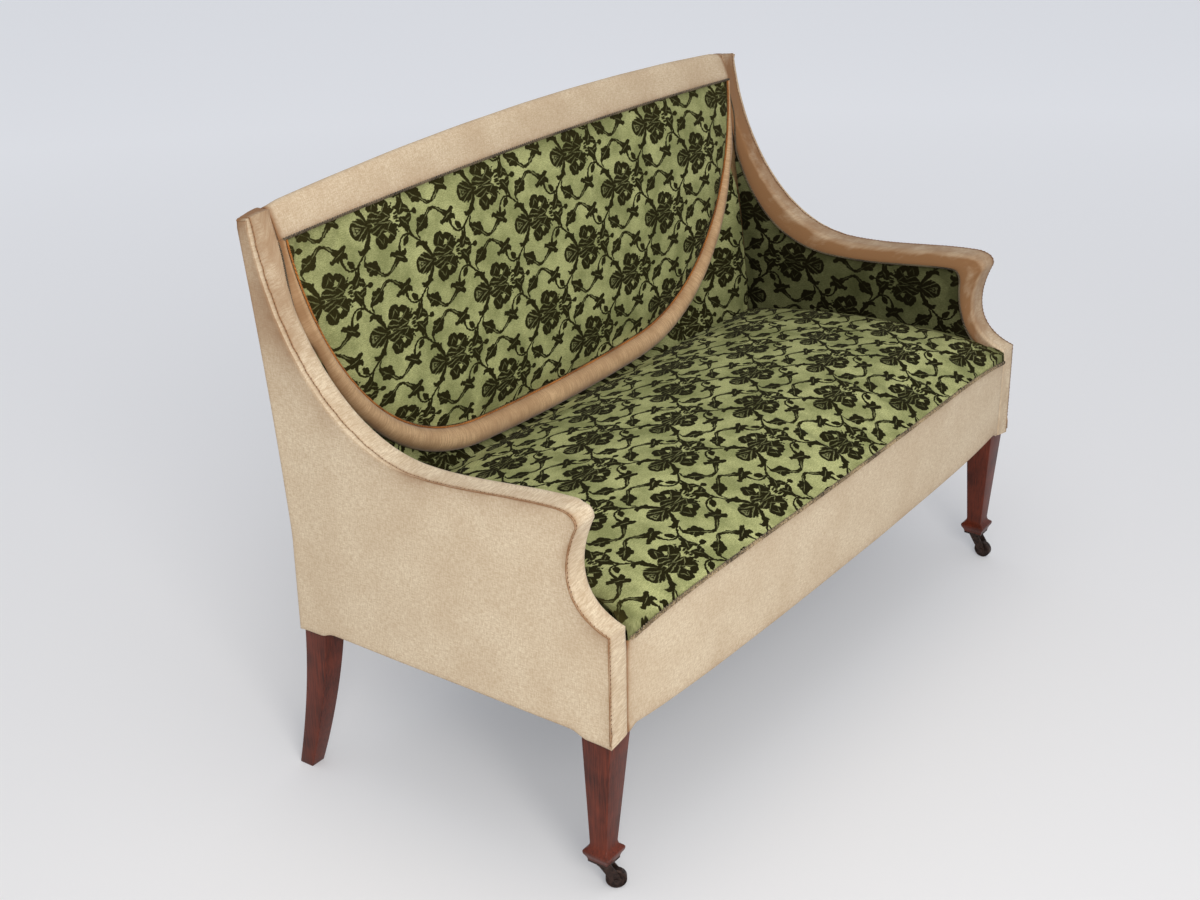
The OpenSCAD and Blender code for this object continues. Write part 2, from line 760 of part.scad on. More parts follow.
roll_sides = 10;
roll_back = 3;
module back_roll() {
    rings = [
        for (i = [0 : panel_last])
            let (e = panel_edge[i], out = panel_outward(i), r = roll_r_at(e[1]),
                 c = e + out * (r + cord_d + 0.5))
            [for (k = [0 : roll_sides - 1]) let (a = -360 * k / roll_sides)
                [c[0] + out[0] * r * cos(a), panel_y(e[1]) - max(r * sin(a), -roll_back),
                 c[1] + out[1] * r * cos(a)]]
    ];
    color([0.72, 0.56, 0.40]) tube(rings);
}

module panel_gimp() {
    r = gimp_d / 2;
    path = [for (i = [0 : 24]) let (x = mix(-panel_w + 4, panel_w - 4, i / 24))
        [x, panel_y(panel_top(x)) - r * cos(30), panel_top(x) + r + 0.4]];
    color(gimp_brown) tube(cord_rings(path, r, 6, [0, 1, 0]));
}

// The beige border over the top rail: rows run over the top, from the gimp to the back
border_n = 24;
function top_border_row(x, t) = let (
    z0 = panel_top(x * panel_w / band_x) + gimp_d / 3,
    z1 = top_z(x),
    y0 = panel_y(z0) + soft_gap / 2,
    y1 = back_top[0] + 0.5,
    h = z1 - z0
) [
    [x, y0 + t, z0],
    [x, mix(y0, y1, 0.24) + t, z0 + 0.55 * h - 0.2 * t],
    [x, mix(y0, y1, 0.42) + t, z0 + 0.86 * h - 0.7 * t],
    [x, mix(y0, y1, 0.60) + t / 2, z1 - t],
    [x, mix(y0, y1, 0.80) - t / 3, z1 - 1 - t],
    [x, y1 - t, z1 - 7 - t / 3]
];
module top_border() {
    xs = [for (i = [0 : border_n]) mix(-band_x + 0.4, band_x - 0.4, i / border_n)];
    color(beige_velvet)
        slab([for (x = xs) top_border_row(x, 0)], [for (x = xs) top_border_row(x, 3)]);
}

// The lower back shows below and beside the roll, down to the seat and out to the arms
lower_from = 5;
lower_centre_z = panel_top_z - 124;
function lower_outer(i, bottom) = let (
    e = panel_edge[i],
    grow = min(seat_half / max(1, abs(e[0])), (lower_centre_z - bottom) / (lower_centre_z - e[1])),
    x = e[0] * grow,
    z = lower_centre_z - (lower_centre_z - e[1]) * grow
) [x, corner_y(z), z];
function lower_inner(i) = let (
    e = panel_edge[i],
    r = roll_r_at(e[1]),
    d = e + panel_outward(i) * (2 * r + cord_d + 1.2)
) [d[0], panel_y(e[1]) - 2, d[1]];
lower_bottom_z = seat_back_z - 2;
function lower_row(i, s, depth) = let (
    a = lower_inner(i), b = lower_outer(i, lower_bottom_z), p = mix(a, b, s)
) [min(seat_half, max(-seat_half, p[0])), p[1] - 4 * sin(180 * s) + depth, min(p[2], a[2])];

module lower_back_cover() {
    rows = [lower_from : panel_last - lower_from];
    color(green_velvet)
        slab([for (i = rows) [for (s = [0 : 3]) lower_row(i, s / 3, 0)]],
             [for (i = rows) [for (s = [0 : 3]) lower_row(i, s / 3, panel_cover_t)]]);
}

module lower_back_pad() {
    rows = [lower_from : panel_last - lower_from];
    color([0.45, 0.36, 0.26])
        slab([for (i = rows) [for (s = [0 : 3]) lower_row(i, s / 3, panel_cover_t + soft_gap)]],
             [for (i = rows) [for (s = [0 : 3]) let (p = lower_row(i, s / 3, panel_cover_t + soft_gap))
                 [p[0], max(p[1] + 2, strap_front(p[2])), p[2]]]]);
}

// Sides

module outer_side_cover() {
    color(beige_velvet)
    across(cover_x, half_w) polygon(concat(
        [for (i = [0 : last - 1]) outline[i]],
        [[-front_y, cover_bottom_z - cover_dip], [-front_y + 75, cover_bottom_z + 2],
         [back_y - 75, cover_bottom_z + 2], [back_y, cover_bottom_z - cover_dip]],
        [for (i = [1 : len(back_edge) - 2]) back_edge[i]]
    ));
}

module arm_pad() {
    color([0.45, 0.36, 0.26])
        across(pillow_x + soft_gap, pad_x - soft_gap) polygon(concat(
            [for (i = [4 : nose_end + 1]) band_edge[i] + inward(i)],
            [[-nose_y + 60, rail_top_z], [upright_front_y - 2, rail_top_z]],
            [[upright_front_y - 2, upright_bend_z]]
        ));
}

// The padded inner face of the arm, from the band down to the seat
inner_from = 5;
inner_to = knee_end - 1;
inner_n = inner_to - inner_from;
inner_bottom_z = seat_back_z - 2;
inner_corner = 0.34;
function inner_low(s) = s < inner_corner
    ? let (z = mix(band_edge[inner_from][1] - 12, inner_bottom_z, s / inner_corner)) [corner_y(z) - 1, z]
    : [mix(corner_y(inner_bottom_z) - 1, knee_in[0] + 2, (s - inner_corner) / (1 - inner_corner)),
       inner_bottom_z];
inner_rows_n = 6;
function lip_x_at(i) = min(pillow_x - 3, mix(band_x, lip_x, lip_share(i)));
function inner_point(i, j) = let (
    s = (i - inner_from) / inner_n,
    v = j / inner_rows_n,
    edge = band_edge[i] + inward(i) * 0.5,
    p = mix(edge, inner_low(s), v)
) [lip_x_at(i) - arm_crown * (1 - pow(1 - v, 3)), p[0], p[1]];

module inner_arm_cover() {
    rows = [for (i = [inner_from : inner_to]) [for (j = [0 : inner_rows_n]) inner_point(i, j)]];
    backs = [for (row = rows) [for (p = row) [pillow_x, p[1], p[2]]]];
    color(green_velvet) slab(backs, rows);
}

// The beige band over the arm: each row runs from the outer seam to the inner edge
function band_row(i, t) = let (
    o = outline[i], e = band_edge[i], d = inward(i), x_in = mix(band_x, lip_x, lip_share(i)),
    w = x_in + 4, full = norm(e - o)
) [
    for (p = t == 0
        ? [[timber_x, 0], [band_x + 3, 0], [mix(band_x, x_in, 0.3), min(3, 0.3 * full)],
           [mix(band_x, x_in, 0.75), 0.35 * full], [x_in, full]]
        : [[timber_x, t], [band_x + 5, t], [mix(band_x, x_in, 0.3) + 3.5, min(t + 1.5, 0.8 * full)],
           [mix(band_x, x_in, 0.75) + 4, 0.38 * full + 1], [w, full]])
    [p[0], o[0] + d[0] * p[1], o[1] + d[1] * p[1]]
];
module arm_band() {
    color(beige_velvet)
        slab([for (i = [0 : last]) band_row(i, band_t)], [for (i = [0 : last]) band_row(i, 0)]);
}

module arm_gimp() {
    r = 1.5;
    path = [for (i = [inner_from : inner_to])
        let (e = band_edge[i] - inward(i) * 1.2) [lip_x_at(i) - r - soft_gap, e[0], e[1]]];
    color(gimp_brown) tube(cord_rings(path, r, 5, [1, 0, 0]));
}

// Legs

// A leg through square rings, each given as [z, x, y, width]
module square_leg(rings) {
    tube([for (q = rings) let (h = q[3] / 2)
        [[q[1] - h, q[2] - h, q[0]], [q[1] - h, q[2] + h, q[0]],
         [q[1] + h, q[2] + h, q[0]], [q[1] + h, q[2] - h, q[0]]]]);
}

module front_leg() {
    color(mahogany)
    difference() {
        square_leg([
            [leg_bottom_z, foot_x, foot_y, plate_w + 1],
            [leg_bottom_z + 4, foot_x, foot_y, plate_w + 3],
            [collar_z - 3, foot_x, foot_y, collar_w - 1],
            [collar_z + 2, foot_x, foot_y, collar_w],
            [collar_z + 5, foot_x, foot_y, collar_w - 5],
            [ankle_z - 3, foot_x, foot_y, ankle_w + 2],
            [ankle_z + 3, foot_x, foot_y, ankle_w],
            [post_bottom_z, leg_top_x, leg_top_y, leg_w]
        ]);
        translate([dowel_x, leg_top_y, post_bottom_z]) dowel_hole();
        translate([foot_x, foot_y, leg_bottom_z - 1])
            cylinder(d = pin_d + 2 * run_gap, h = pin_len + 2);
    }
}

module rear_leg() {
    n = 8;
    rings = [for (i = [0 : n]) let (t = i / n, z = mix(0, post_bottom_z, t))
        [z, mix(rear_foot_x, rear_top_x, t), mix(rear_foot_y, rear_top_y, 1 - pow(1 - t, 1.7)),
         mix(rear_foot_w, rear_leg_w, pow(t, 0.9))]];
    color(mahogany)
    difference() {
        square_leg(rings);
        translate([dowel_x, rear_top_y, post_bottom_z]) dowel_hole();
    }
}

module leg_dowels() {
    color(beech)
    for (side = [-1, 1], y = [leg_top_y, rear_top_y])
        translate([side * dowel_x, y, post_bottom_z - dowel_len / 2]) cylinder(d = dowel_d, h = dowel_len);
}

// Casters, drawn at a swivel pin on the z axis with the wheel toward +X

module caster_plate() {
    color(iron)
    translate([foot_x, foot_y, leg_bottom_z - plate_t])
    difference() {
        translate([-plate_w / 2, -plate_w / 2, 0]) cube([plate_w, plate_w, plate_t]);
        translate([0, 0, -1]) cylinder(d = pin_d + 2 * run_gap, h = plate_t + 2);
        plate_screw_places() cylinder(d = 3.2, h = 4 * plate_t, center = true);
    }
}

module plate_screw_places() {
    for (a = [45 : 90 : 315]) rotate([0, 0, a]) translate([plate_w * 0.52, 0, 0]) children();
}

module caster_horn() {
    cheek_y = wheel_w / 2 + cheek_gap;
    color(iron)
    difference() {
        union() {
            translate([0, 0, crown_top_z - crown_h]) cylinder(d = crown_d, h = crown_h);
            cylinder_pin();
            for (side = [-1, 1])
                translate([0, side * (cheek_y + cheek_t / 2) + cheek_t / 2, 0]) rotate([90, 0, 0])
                linear_extrude(cheek_t) cheek_outline();
        }
        translate([trail, 0, axle_z]) rotate([90, 0, 0]) cylinder(d = axle_d, h = 60, center = true);
    }
}

module cylinder_pin() {
    translate([0, 0, crown_top_z - 1]) cylinder(d = pin_d, h = pin_len + plate_t);
}

module cheek_outline() {
    polygon([[trail - 7, axle_z - 1], [-9, crown_top_z - crown_h + 3], [8, crown_top_z - 1.5],
             [trail + 4, axle_z + 11], [trail + 7, axle_z + 2], [trail + 6, axle_z - 4], [trail, axle_z - 7],
             [trail - 5, axle_z - 5]]);
}

module caster_axle() {
    w = wheel_w / 2 + cheek_gap + cheek_t;
    color(iron)
    translate([trail, 0, axle_z]) rotate([90, 0, 0]) {
        cylinder(d = axle_d, h = 2 * w, center = true);
        for (side = [-1, 1]) translate([0, 0, side * (w + 0.75)])
            cylinder(d = axle_d + 3, h = 1.5, center = true);
    }
}

module caster_wheel() {
    color(iron)
    translate([trail, 0, axle_z]) rotate([90, 0, 0]) rotate_extrude($fn = 48)
        polygon([
            [axle_d / 2 + run_gap, -wheel_w / 2], [axle_d / 2 + 2, -wheel_w / 2],
            [axle_d / 2 + 3, -wheel_w / 2 + 1.5], [wheel_d / 2 - 3.5, -wheel_w / 2 + 1.5],
            [wheel_d / 2 - 2.5, -wheel_w / 2], [wheel_d / 2 - 1, -wheel_w / 2 + 0.5],
            [wheel_d / 2, -wheel_w / 2 + 2], [wheel_d / 2, wheel_w / 2 - 2],
            [wheel_d / 2 - 1, wheel_w / 2 - 0.5], [wheel_d / 2 - 2.5, wheel_w / 2],
            [wheel_d / 2 - 3.5, wheel_w / 2 - 1.5], [axle_d / 2 + 3, wheel_w / 2 - 1.5],
            [axle_d / 2 + 2, wheel_w / 2], [axle_d / 2 + run_gap, wheel_w / 2]
        ]);
}

module at_left_foot() {
    translate([-foot_x, foot_y, 0]) rotate([0, 0, caster_turn_left]) children();
}

module at_right_foot() {
    translate([foot_x, foot_y, 0]) rotate([0, 0, caster_turn_right]) children();
}

module plate_screws() {
    color("gray")
    for (side = [-1, 1]) translate([side * foot_x, foot_y, leg_bottom_z - plate_t])
        plate_screw_places() cylinder(d = 3.2, h = plate_t);
}

front_seat_rail();
back_seat_rail();
color(beech) left_hand() side_rail();  // side_rail_left
color(beech) side_rail();  // side_rail_right
color(beech) four_corners() corner_block();  // corner_blocks
block_screws();
color(beech) left_hand() front_post();  // front_post_left
color(beech) front_post();  // front_post_right
color(beech) left_hand() back_post();  // back_post_left
color(beech) back_post();  // back_post_right
top_rail();
lower_back_rail();
color(beech) left_hand() arm_rail();  // arm_rail_left
color(beech) arm_rail();  // arm_rail_right
left_hand() front_leg();  // front_leg_left
front_leg();  // front_leg_right
left_hand() rear_leg();  // rear_leg_left
rear_leg();  // rear_leg_right
leg_dowels();
seat_webbing();
seat_springs();
spring_canvas();
seat_stuffing();
seat_front_edge();
seat_cover();
seat_gimp();
front_border();
dust_cover();
back_webbing();
back_stuffing();
back_panel_cover();
panel_cord();
back_roll();
panel_gimp();
top_border();
lower_back_pad();
lower_back_cover();
outer_back_cover();
left_hand() outer_side_cover();  // outer_side_cover_left
outer_side_cover();  // outer_side_cover_right
left_hand() arm_pad();  // arm_pad_left
arm_pad();  // arm_pad_right
left_hand() inner_arm_cover();  // inner_arm_cover_left
inner_arm_cover();  // inner_arm_cover_right
left_hand() arm_band();  // arm_band_left
arm_band();  // arm_band_right
left_hand() arm_gimp();  // arm_gimp_left
arm_gimp();  // arm_gimp_right
left_hand() caster_plate();  // caster_plate_left
caster_plate();  // caster_plate_right
plate_screws();
at_left_foot() caster_horn();  // caster_horn_left
at_right_foot() caster_horn();  // caster_horn_right
at_left_foot() caster_axle();  // caster_axle_left
at_right_foot() caster_axle();  // caster_axle_right
at_left_foot() caster_wheel();  // caster_wheel_left
at_right_foot() caster_wheel();  // caster_wheel_right
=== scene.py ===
import math

import bpy
import numpy as np
from mathutils import Matrix, Vector


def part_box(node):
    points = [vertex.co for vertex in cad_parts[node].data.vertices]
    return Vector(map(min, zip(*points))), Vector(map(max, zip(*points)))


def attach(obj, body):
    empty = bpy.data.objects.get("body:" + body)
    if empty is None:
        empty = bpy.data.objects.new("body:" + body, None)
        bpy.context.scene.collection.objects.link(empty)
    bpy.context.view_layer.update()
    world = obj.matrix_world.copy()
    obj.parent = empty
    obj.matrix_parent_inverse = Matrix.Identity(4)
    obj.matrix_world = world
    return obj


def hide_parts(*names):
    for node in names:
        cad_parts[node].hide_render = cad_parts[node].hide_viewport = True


bl_info = {
    "name": "Two-seater sofa with swept arms",
    "version": (1, 0, 0),
    "blender": (4, 5, 0),
    "location": "View3D > Sidebar > Sofa",
    "description": "Dresses the sofa's frame in velvet, gimp, mahogany and iron",
    "category": "Object",
}

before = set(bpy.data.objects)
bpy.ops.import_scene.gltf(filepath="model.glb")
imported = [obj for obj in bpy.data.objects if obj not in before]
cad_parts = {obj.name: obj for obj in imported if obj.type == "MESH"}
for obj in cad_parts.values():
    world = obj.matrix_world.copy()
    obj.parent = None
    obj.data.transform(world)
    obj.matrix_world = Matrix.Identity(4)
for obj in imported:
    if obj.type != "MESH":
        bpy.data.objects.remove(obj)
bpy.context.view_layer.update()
MM = 0.001

# Sizes in millimetres, the same as the frame's. An X is half of what the mirrored pair spans
HALF_W = 667.0  # outside of the side covers
BAND_X = 626.0  # inner edge of the bands down the front corners
BORDER_X = 625.7  # ends of the front border
SEAT_GIMP_X = 621.5
PILLOW_X = 620.2  # back of the arms' padding, and the ends of the top border
UPRIGHT_X = 620.0  # inner side of the uprights
POST_W = HALF_W - UPRIGHT_X
ARM_PAD_X = 619.9  # back of the inner arms here, clear of the side
LIP_X = 612.0  # inner edge of the bands over the arms
PANEL_GIMP_X = 615.0
PANEL_HALF = 607.0  # top corners of the back panel
LOWER_BACK_X = 603.5  # how far the lower back goes in behind the arms
SEAT_X = 599.5  # sides of the seat behind its front corners
OUTER_BACK_X = 663.6  # sides of the outer back's cover
FRONT_Y = 321.0
HEM_Z = 272.0
SEAT_BACK_Y = 229.0  # back edge of the seat
SEAT_BACK_Z = 426.0
BACK_Y = 278.0  # outer back below LEAN_Z, where it starts to lean
LEAN_Z = 430.0
BACK_TOP = (337.0, 922.0)  # y and z of the uprights' rear top edge
PANEL_TOP_Z = 884.0  # at the panel's top corners
PANEL_LOW_Z = 472.0
ROLL_LOW = 21.0  # radius of the roll at the bottom of the panel, and at its top
ROLL_TOP = 4.0
CORD_D = 3.4  # room left for the orange cord between panel and roll
UPRIGHT_Z = 926.0  # tops of the uprights
LEG_TOP_Z = 284.0
FRONT_FOOT = (640.0, -287.5)  # x and y of the front legs at their foot, and at their top
FRONT_LEG_TOP = (634.7, -289.5)
REAR_FOOT = (648.2, 296.5)
REAR_LEG_TOP = (638.2, 250.5)
FLARE_Z = 780.0  # above it the uprights' inner edge comes forward, over FLARE mm
FLARE = 95.0
SOILED_Z = 620.0  # above it the uprights grow browner, over SOILED mm
SOILED = 220.0
STEPS = 4  # points of a curve here for each point that the frame has

# The top of the arm and the inner edge of its band, in the side view (y, z), as four bezier runs:
# the sweep down the upright, the flat arm, the nose of the scroll and the knee below it
ARM_TOP = (((315, 926), (291, 760), (180, 600), (24, 599)),
           ((24, 599), (-60, 597), (-150, 617), (-225, 619)),
           ((-225, 619), (-250, 621), (-268, 613), (-266, 597)),
           ((-266, 597), (-240, 540), (-235, 470), (-318, 446)))
ARM_EDGE = (((320, 921), (285, 720), (225, 560), (24, 571)),
            ((24, 571), (-50, 569), (-140, 588), (-205, 590)),
            ((-205, 590), (-218, 591), (-224, 580), (-224, 565)),
            ((-224, 565), (-222, 510), (-235, 462), (-290, 430)))
# How many of the frame's points each run takes, and where along the arm the runs end
RUNS = (12, 6, 4, 8)
SWEEP_END, NOSE_START, NOSE_END, KNEE_END = 13, 19, 23, 31
RUN_STARTS = (1, SWEEP_END, NOSE_START, NOSE_END)
INNER_FROM, INNER_TO = 5, KNEE_END - 1  # the stretch that the inner arm's cover takes


# Small tools

def mix(a, b, t):
    """a at t = 0 and b at t = 1."""
    return a + (b - a) * t


def smooth(s):
    """Rises from 0 to 1 without a corner."""
    s = np.clip(s, 0, 1)
    return s * s * (3 - 2 * s)


def bezier(p, t):
    """The point at t on a curve with four control points."""
    a, b, c, d = (np.array(q, float) for q in p)
    return a * (1 - t) ** 3 + 3 * b * t * (1 - t) ** 2 + 3 * c * t * t * (1 - t) + d * t ** 3


def spline(points, n):
    """n + 1 points on a smooth curve through the given ones, evenly spread along it."""
    p = np.array(points, float)
    q = np.vstack([2 * p[0] - p[1], p, 2 * p[-1] - p[-2]])
    out = []
    for i in range(len(p) - 1):
        a, b, c, d = q[i:i + 4]
        for t in np.linspace(0, 1, 12, endpoint=False):
            out.append(0.5 * (2 * b + (c - a) * t + (2 * a - 5 * b + 4 * c - d) * t * t
                              + (3 * b - a - 3 * c + d) * t ** 3))
    return spread(np.array(out + [p[-1]]), n)


def lengths(path):
    """How far along a path each of its points is."""
    return np.concatenate([[0], np.cumsum(np.linalg.norm(np.diff(path, axis=0), axis=1))])


def spread(path, n):
    """The path again, with n + 1 points evenly spread along it."""
    along = lengths(path)
    at = np.linspace(0, along[-1], n + 1)
    return np.stack([np.interp(at, along, line) for line in path.T], axis=1)


def even_path(path, step):
    """The path again, with its points about step apart."""
    path = np.array(path, float)
    return spread(path, max(1, int(round(lengths(path)[-1] / step))))


def waves(p, size, seed):
    """A smooth uneven value from -1 to 1 at each point, with swells about size long."""
    p = np.asarray(p, float)
    total = np.zeros(p.shape[:-1])
    rng = np.random.default_rng(seed)
    for k in range(7):
        d = rng.normal(size=3)
        d /= np.linalg.norm(d)
        total += np.sin(2 * math.pi * (p @ d) / (size * (0.7 + 0.13 * k)) + rng.uniform(0, 6.28))
    return total / 4.5


def near(distance, reach):
    """Falls from 1 at a seam to 0 some way from it."""
    return np.exp(-np.maximum(distance, 0) / reach)


def srgb(code):
    """An sRGB hex colour as linear red, green and blue."""
    values = [int(code[i:i + 2], 16) / 255 for i in (1, 3, 5)]
    return tuple(v / 12.92 if v <= 0.04045 else ((v + 0.055) / 1.055) ** 2.4 for v in values)


# The lines that the covers follow

def index_list():
    """The places along the arm's outline, counted as the frame counts them."""
    out = [0, 0.34, 0.67]
    for start, n in zip(RUN_STARTS, RUNS):
        out += [start + k / STEPS for k in range(n * STEPS)]
    return out + [KNEE_END, KNEE_END + 0.5, KNEE_END + 1] + [KNEE_END + 1 + k / 8 for k in range(1, 9)]


def on_runs(runs, before, after, i):
    """The point at i on a line of the side view: from before onto the four runs, then by
    straight stretches through after."""
    if i < 1:
        return mix(np.array(before, float), np.array(runs[0][0], float), i)
    for start, n, run in zip(RUN_STARTS, RUNS, runs):
        if i < start + n:
            return bezier(run, (i - start) / n)
    after = [np.array(p, float) for p in after]
    k = i - KNEE_END
    return mix(after[0], after[1], k) if k < 1 else mix(after[1], after[2], k - 1)


def outline_at(i):
    """The arm's outline (y, z), from the top corner to the hem."""
    return on_runs(ARM_TOP, (337, 922), ((-319, 446), (-319.5, 416), (-321, 272)), i)


def edge_at(i):
    """The inner edge of the arm's band (y, z)."""
    return on_runs(ARM_EDGE, (336, 916), ((-291, 430), (-314.3, 400), (-315.8, 272)), i)


def inward_at(i):
    """The direction from the outline to the inner edge."""
    d = edge_at(i) - outline_at(i)
    return d / np.linalg.norm(d)


def lip_share(i):
    """How far the band laps over inwards: fully along the arm, not at all at its two ends."""
    if i < SWEEP_END:
        return max(0.0, (i - 1) / 12) ** 0.7
    if i <= NOSE_END:
        return 1.0
    return max(0.0, 1 - (i - NOSE_END) / 8)


def lip_x_at(i):
    """Where the inner arm's cover meets the band."""
    return min(PILLOW_X - 3, mix(BAND_X, LIP_X, lip_share(i)))


def flare(i):
    """Rises from 0 to 1 up the upright, where its inner edge comes forward."""
    return smooth((outline_at(i)[1] - FLARE_Z) / FLARE)


def seam_in(i):
    """How far the seam between side and band lies in from the outside: wide on the sweep."""
    uneven = 1 + 0.07 * math.sin(5.3 * i) + 0.05 * math.sin(11.7 * i + 1)
    return (mix(9.5, 1.6, smooth((i - 9.5) / 4.5)) - 2.2 * smooth((1.6 - i) / 1.6)) * uneven


def drawn_top(i, x, y, z):
    """The top of an upright rises towards the middle, and its inner edge comes forward to lie
    flush with the border over the top rail."""
    inner = (HALF_W - x) / POST_W
    high = z + inner * (mix(9, 5, i) if i <= 1 else 5 * (1 - smooth((i - 1) / 0.8)))
    less = 1 - 0.75 * smooth((outline_at(i)[1] - PANEL_TOP_Z) / 40)
    forward = 8.0 * flare(i) * less * np.clip((650 - x) / 30, 0, 1.1) ** 1.4
    if i < 1:
        forward = forward * i
    return x, y - forward, high


def back_y_at(z):
    """The outer back: upright at first, then leaning back more and more."""
    s = np.maximum(0, (z - LEAN_Z) / (BACK_TOP[1] - LEAN_Z))
    return BACK_Y + (BACK_TOP[0] - BACK_Y) * (0.72 * s + 0.28 * s * s)


def top_z(x):
    """The bowed top of the back."""
    return UPRIGHT_Z + 4 + 29 * (1 - (x / HALF_W) ** 2)


def top_fall(x):
    """How much lower the back's cover lies at its two ends."""
    return 3 * smooth((np.abs(x) - 585) / 35)


def front_arc(x):
    """The bowed front of the seat, seen from above."""
    return -FRONT_Y - 12 * (1 - (x / BAND_X) ** 2)


def front_top(x):
    """The seat's front edge, which drops at its ends."""
    return 444 - 19 * (np.abs(x) / BAND_X) ** 6


def front_bottom(x):
    """The hem below it."""
    return HEM_Z - 2 + 12 * (np.abs(x) / BAND_X) ** 8


def panel_top(x):
    """The bowed top of the back panel."""
    return PANEL_TOP_Z + 13 * (1 - (x / PANEL_HALF) ** 2)


def panel_y(z):
    """The leaning face of the back panel at its edge."""
    s = (z - PANEL_LOW_Z) / (PANEL_TOP_Z - PANEL_LOW_Z)
    return 258 + 39 * (0.4 * s + 0.6 * s * np.abs(s))


def panel_edge():
    """The D-shaped edge of the back panel (x, z), from the right top corner to the left one."""
    side = [bezier(((PANEL_HALF, 881), (PANEL_HALF - 19, 695), (470, 490), (232, 478)), k / 56)
            for k in range(56)]
    flat = [np.array((x, PANEL_LOW_Z + 6 * (x / 232) ** 2)) for x in np.linspace(232, 0, 13)[:-1]]
    half = side + flat
    return np.array(half + [np.array((0.0, PANEL_LOW_Z))] + [p * (-1, 1) for p in reversed(half)])


def panel_outward(edge):
    """Directions square to the panel's edge, away from its middle."""
    d = np.gradient(edge, axis=0)
    d /= np.linalg.norm(d, axis=1)[:, None]
    return np.stack([-d[:, 1], d[:, 0]], axis=1)


def roll_radius(z):
    """The roll is thick at the bottom of the panel and thin at its top."""
    s = (z - PANEL_LOW_Z) / (PANEL_TOP_Z - PANEL_LOW_Z)
    return mix(ROLL_LOW, ROLL_TOP, np.clip(s / 0.85, 0, 1))


def corner_y(z):
    """The line where the lower back meets the inner arms."""
    up = z - SEAT_BACK_Z
    return SEAT_BACK_Y + 0.105 * up + 0.00013 * np.maximum(0, up) ** 2


def strap_front(z):
    """The front of the webbing in the back, which the panel's stuffing lies on."""
    rail_z = 485.0
    low = back_y_at(rail_z) - 14
    top = back_y_at(PANEL_TOP_Z) - 18
    strap = mix(low, top, (z - rail_z) / (PANEL_TOP_Z - rail_z))
    return np.where(z < rail_z, back_y_at(z) - 14, strap) - 2.6


# Making pieces

def deselect_all():
    """Leaves edit mode and selects nothing."""
    if bpy.context.object and bpy.context.object.mode != "OBJECT":
        bpy.ops.object.mode_set(mode="OBJECT")
    bpy.ops.object.select_all(action="DESELECT")


def pick(obj):
    """Selects one piece alone and makes it active."""
    deselect_all()
    obj.select_set(True)
    bpy.context.view_layer.objects.active = obj


def apply_modifier(obj, name, kind, **settings):
    """Adds a modifier with its settings and applies it."""
    pick(obj)
    m = obj.modifiers.new(name, kind)
    for key, value in settings.items():
        setattr(m, key, value)
    bpy.ops.object.modifier_apply(modifier=m.name)


def points_of(obj):
    """The places of a piece's points, in mm."""
    co = np.zeros(len(obj.data.vertices) * 3)
    obj.data.vertices.foreach_get("co", co)
    return co.reshape(-1, 3) / MM


def place_points(obj, points):
    """Moves a piece's points to these places, in mm."""
    obj.data.vertices.foreach_set("co", (np.asarray(points).reshape(-1, 3) * MM).ravel())
    obj.data.update()


def write_values(obj, name, values):
    """Keeps one value, or a pair along and across the cloth, on each point of a piece."""
    values = np.asarray(values, float)
    kind, key = ("FLOAT", "value") if values.ndim == 1 else ("FLOAT_VECTOR", "vector")
    if values.ndim == 2 and values.shape[1] == 2:
        values = np.hstack([values, np.zeros((len(values), 1))])
    a = obj.data.attributes.get(name) or obj.data.attributes.new(name, kind, "POINT")
    a.data.foreach_set(key, values.ravel())


def cloth_grid(name, rows, wear_and_shade=None, cloth=None):
    """A grid whose points lie on rows of places in mm, with how far each is along and across the
    cloth, and how worn it is, which on some pieces also holds painted shade. Its front faces the side
    from which the rows run up and the columns to the right."""
    rows = np.asarray(rows, float)
    m, n = rows.shape[:2]
    deselect_all()
    bpy.ops.mesh.primitive_grid_add(x_subdivisions=n - 1, y_subdivisions=m - 1, size=1)
    obj = bpy.context.object
    obj.name = obj.data.name = name
    place_points(obj, rows)
    if cloth is None:
        across = np.stack([lengths(row) for row in rows])
        up = np.stack([lengths(column) for column in rows.transpose(1, 0, 2)], axis=1)
        cloth = np.stack([across, up], axis=2)
    write_values(obj, "cloth", np.asarray(cloth, float).reshape(-1, 2))
    write_values(obj, "wear_and_shade", np.zeros(m * n) if wear_and_shade is None else np.asarray(wear_and_shade, float).ravel())
    for layer in list(obj.data.uv_layers):
        obj.data.uv_layers.remove(layer)
    return obj


def give_thickness(obj, mm):
    """Makes a sheet a closed form, by going back from its front."""
    apply_modifier(obj, "Thickness", "SOLIDIFY", thickness=mm * MM, offset=-1, use_rim=True)


def closed_form(name, front, back, wear_and_shade=None, cloth=None):
    """A closed form between a front and a back of as many rows and columns."""
    obj = cloth_grid(name, front, wear_and_shade, cloth)
    give_thickness(obj, 1)
    place_points(obj, np.concatenate([np.reshape(front, (-1, 3)), np.reshape(back, (-1, 3))]))
    return obj


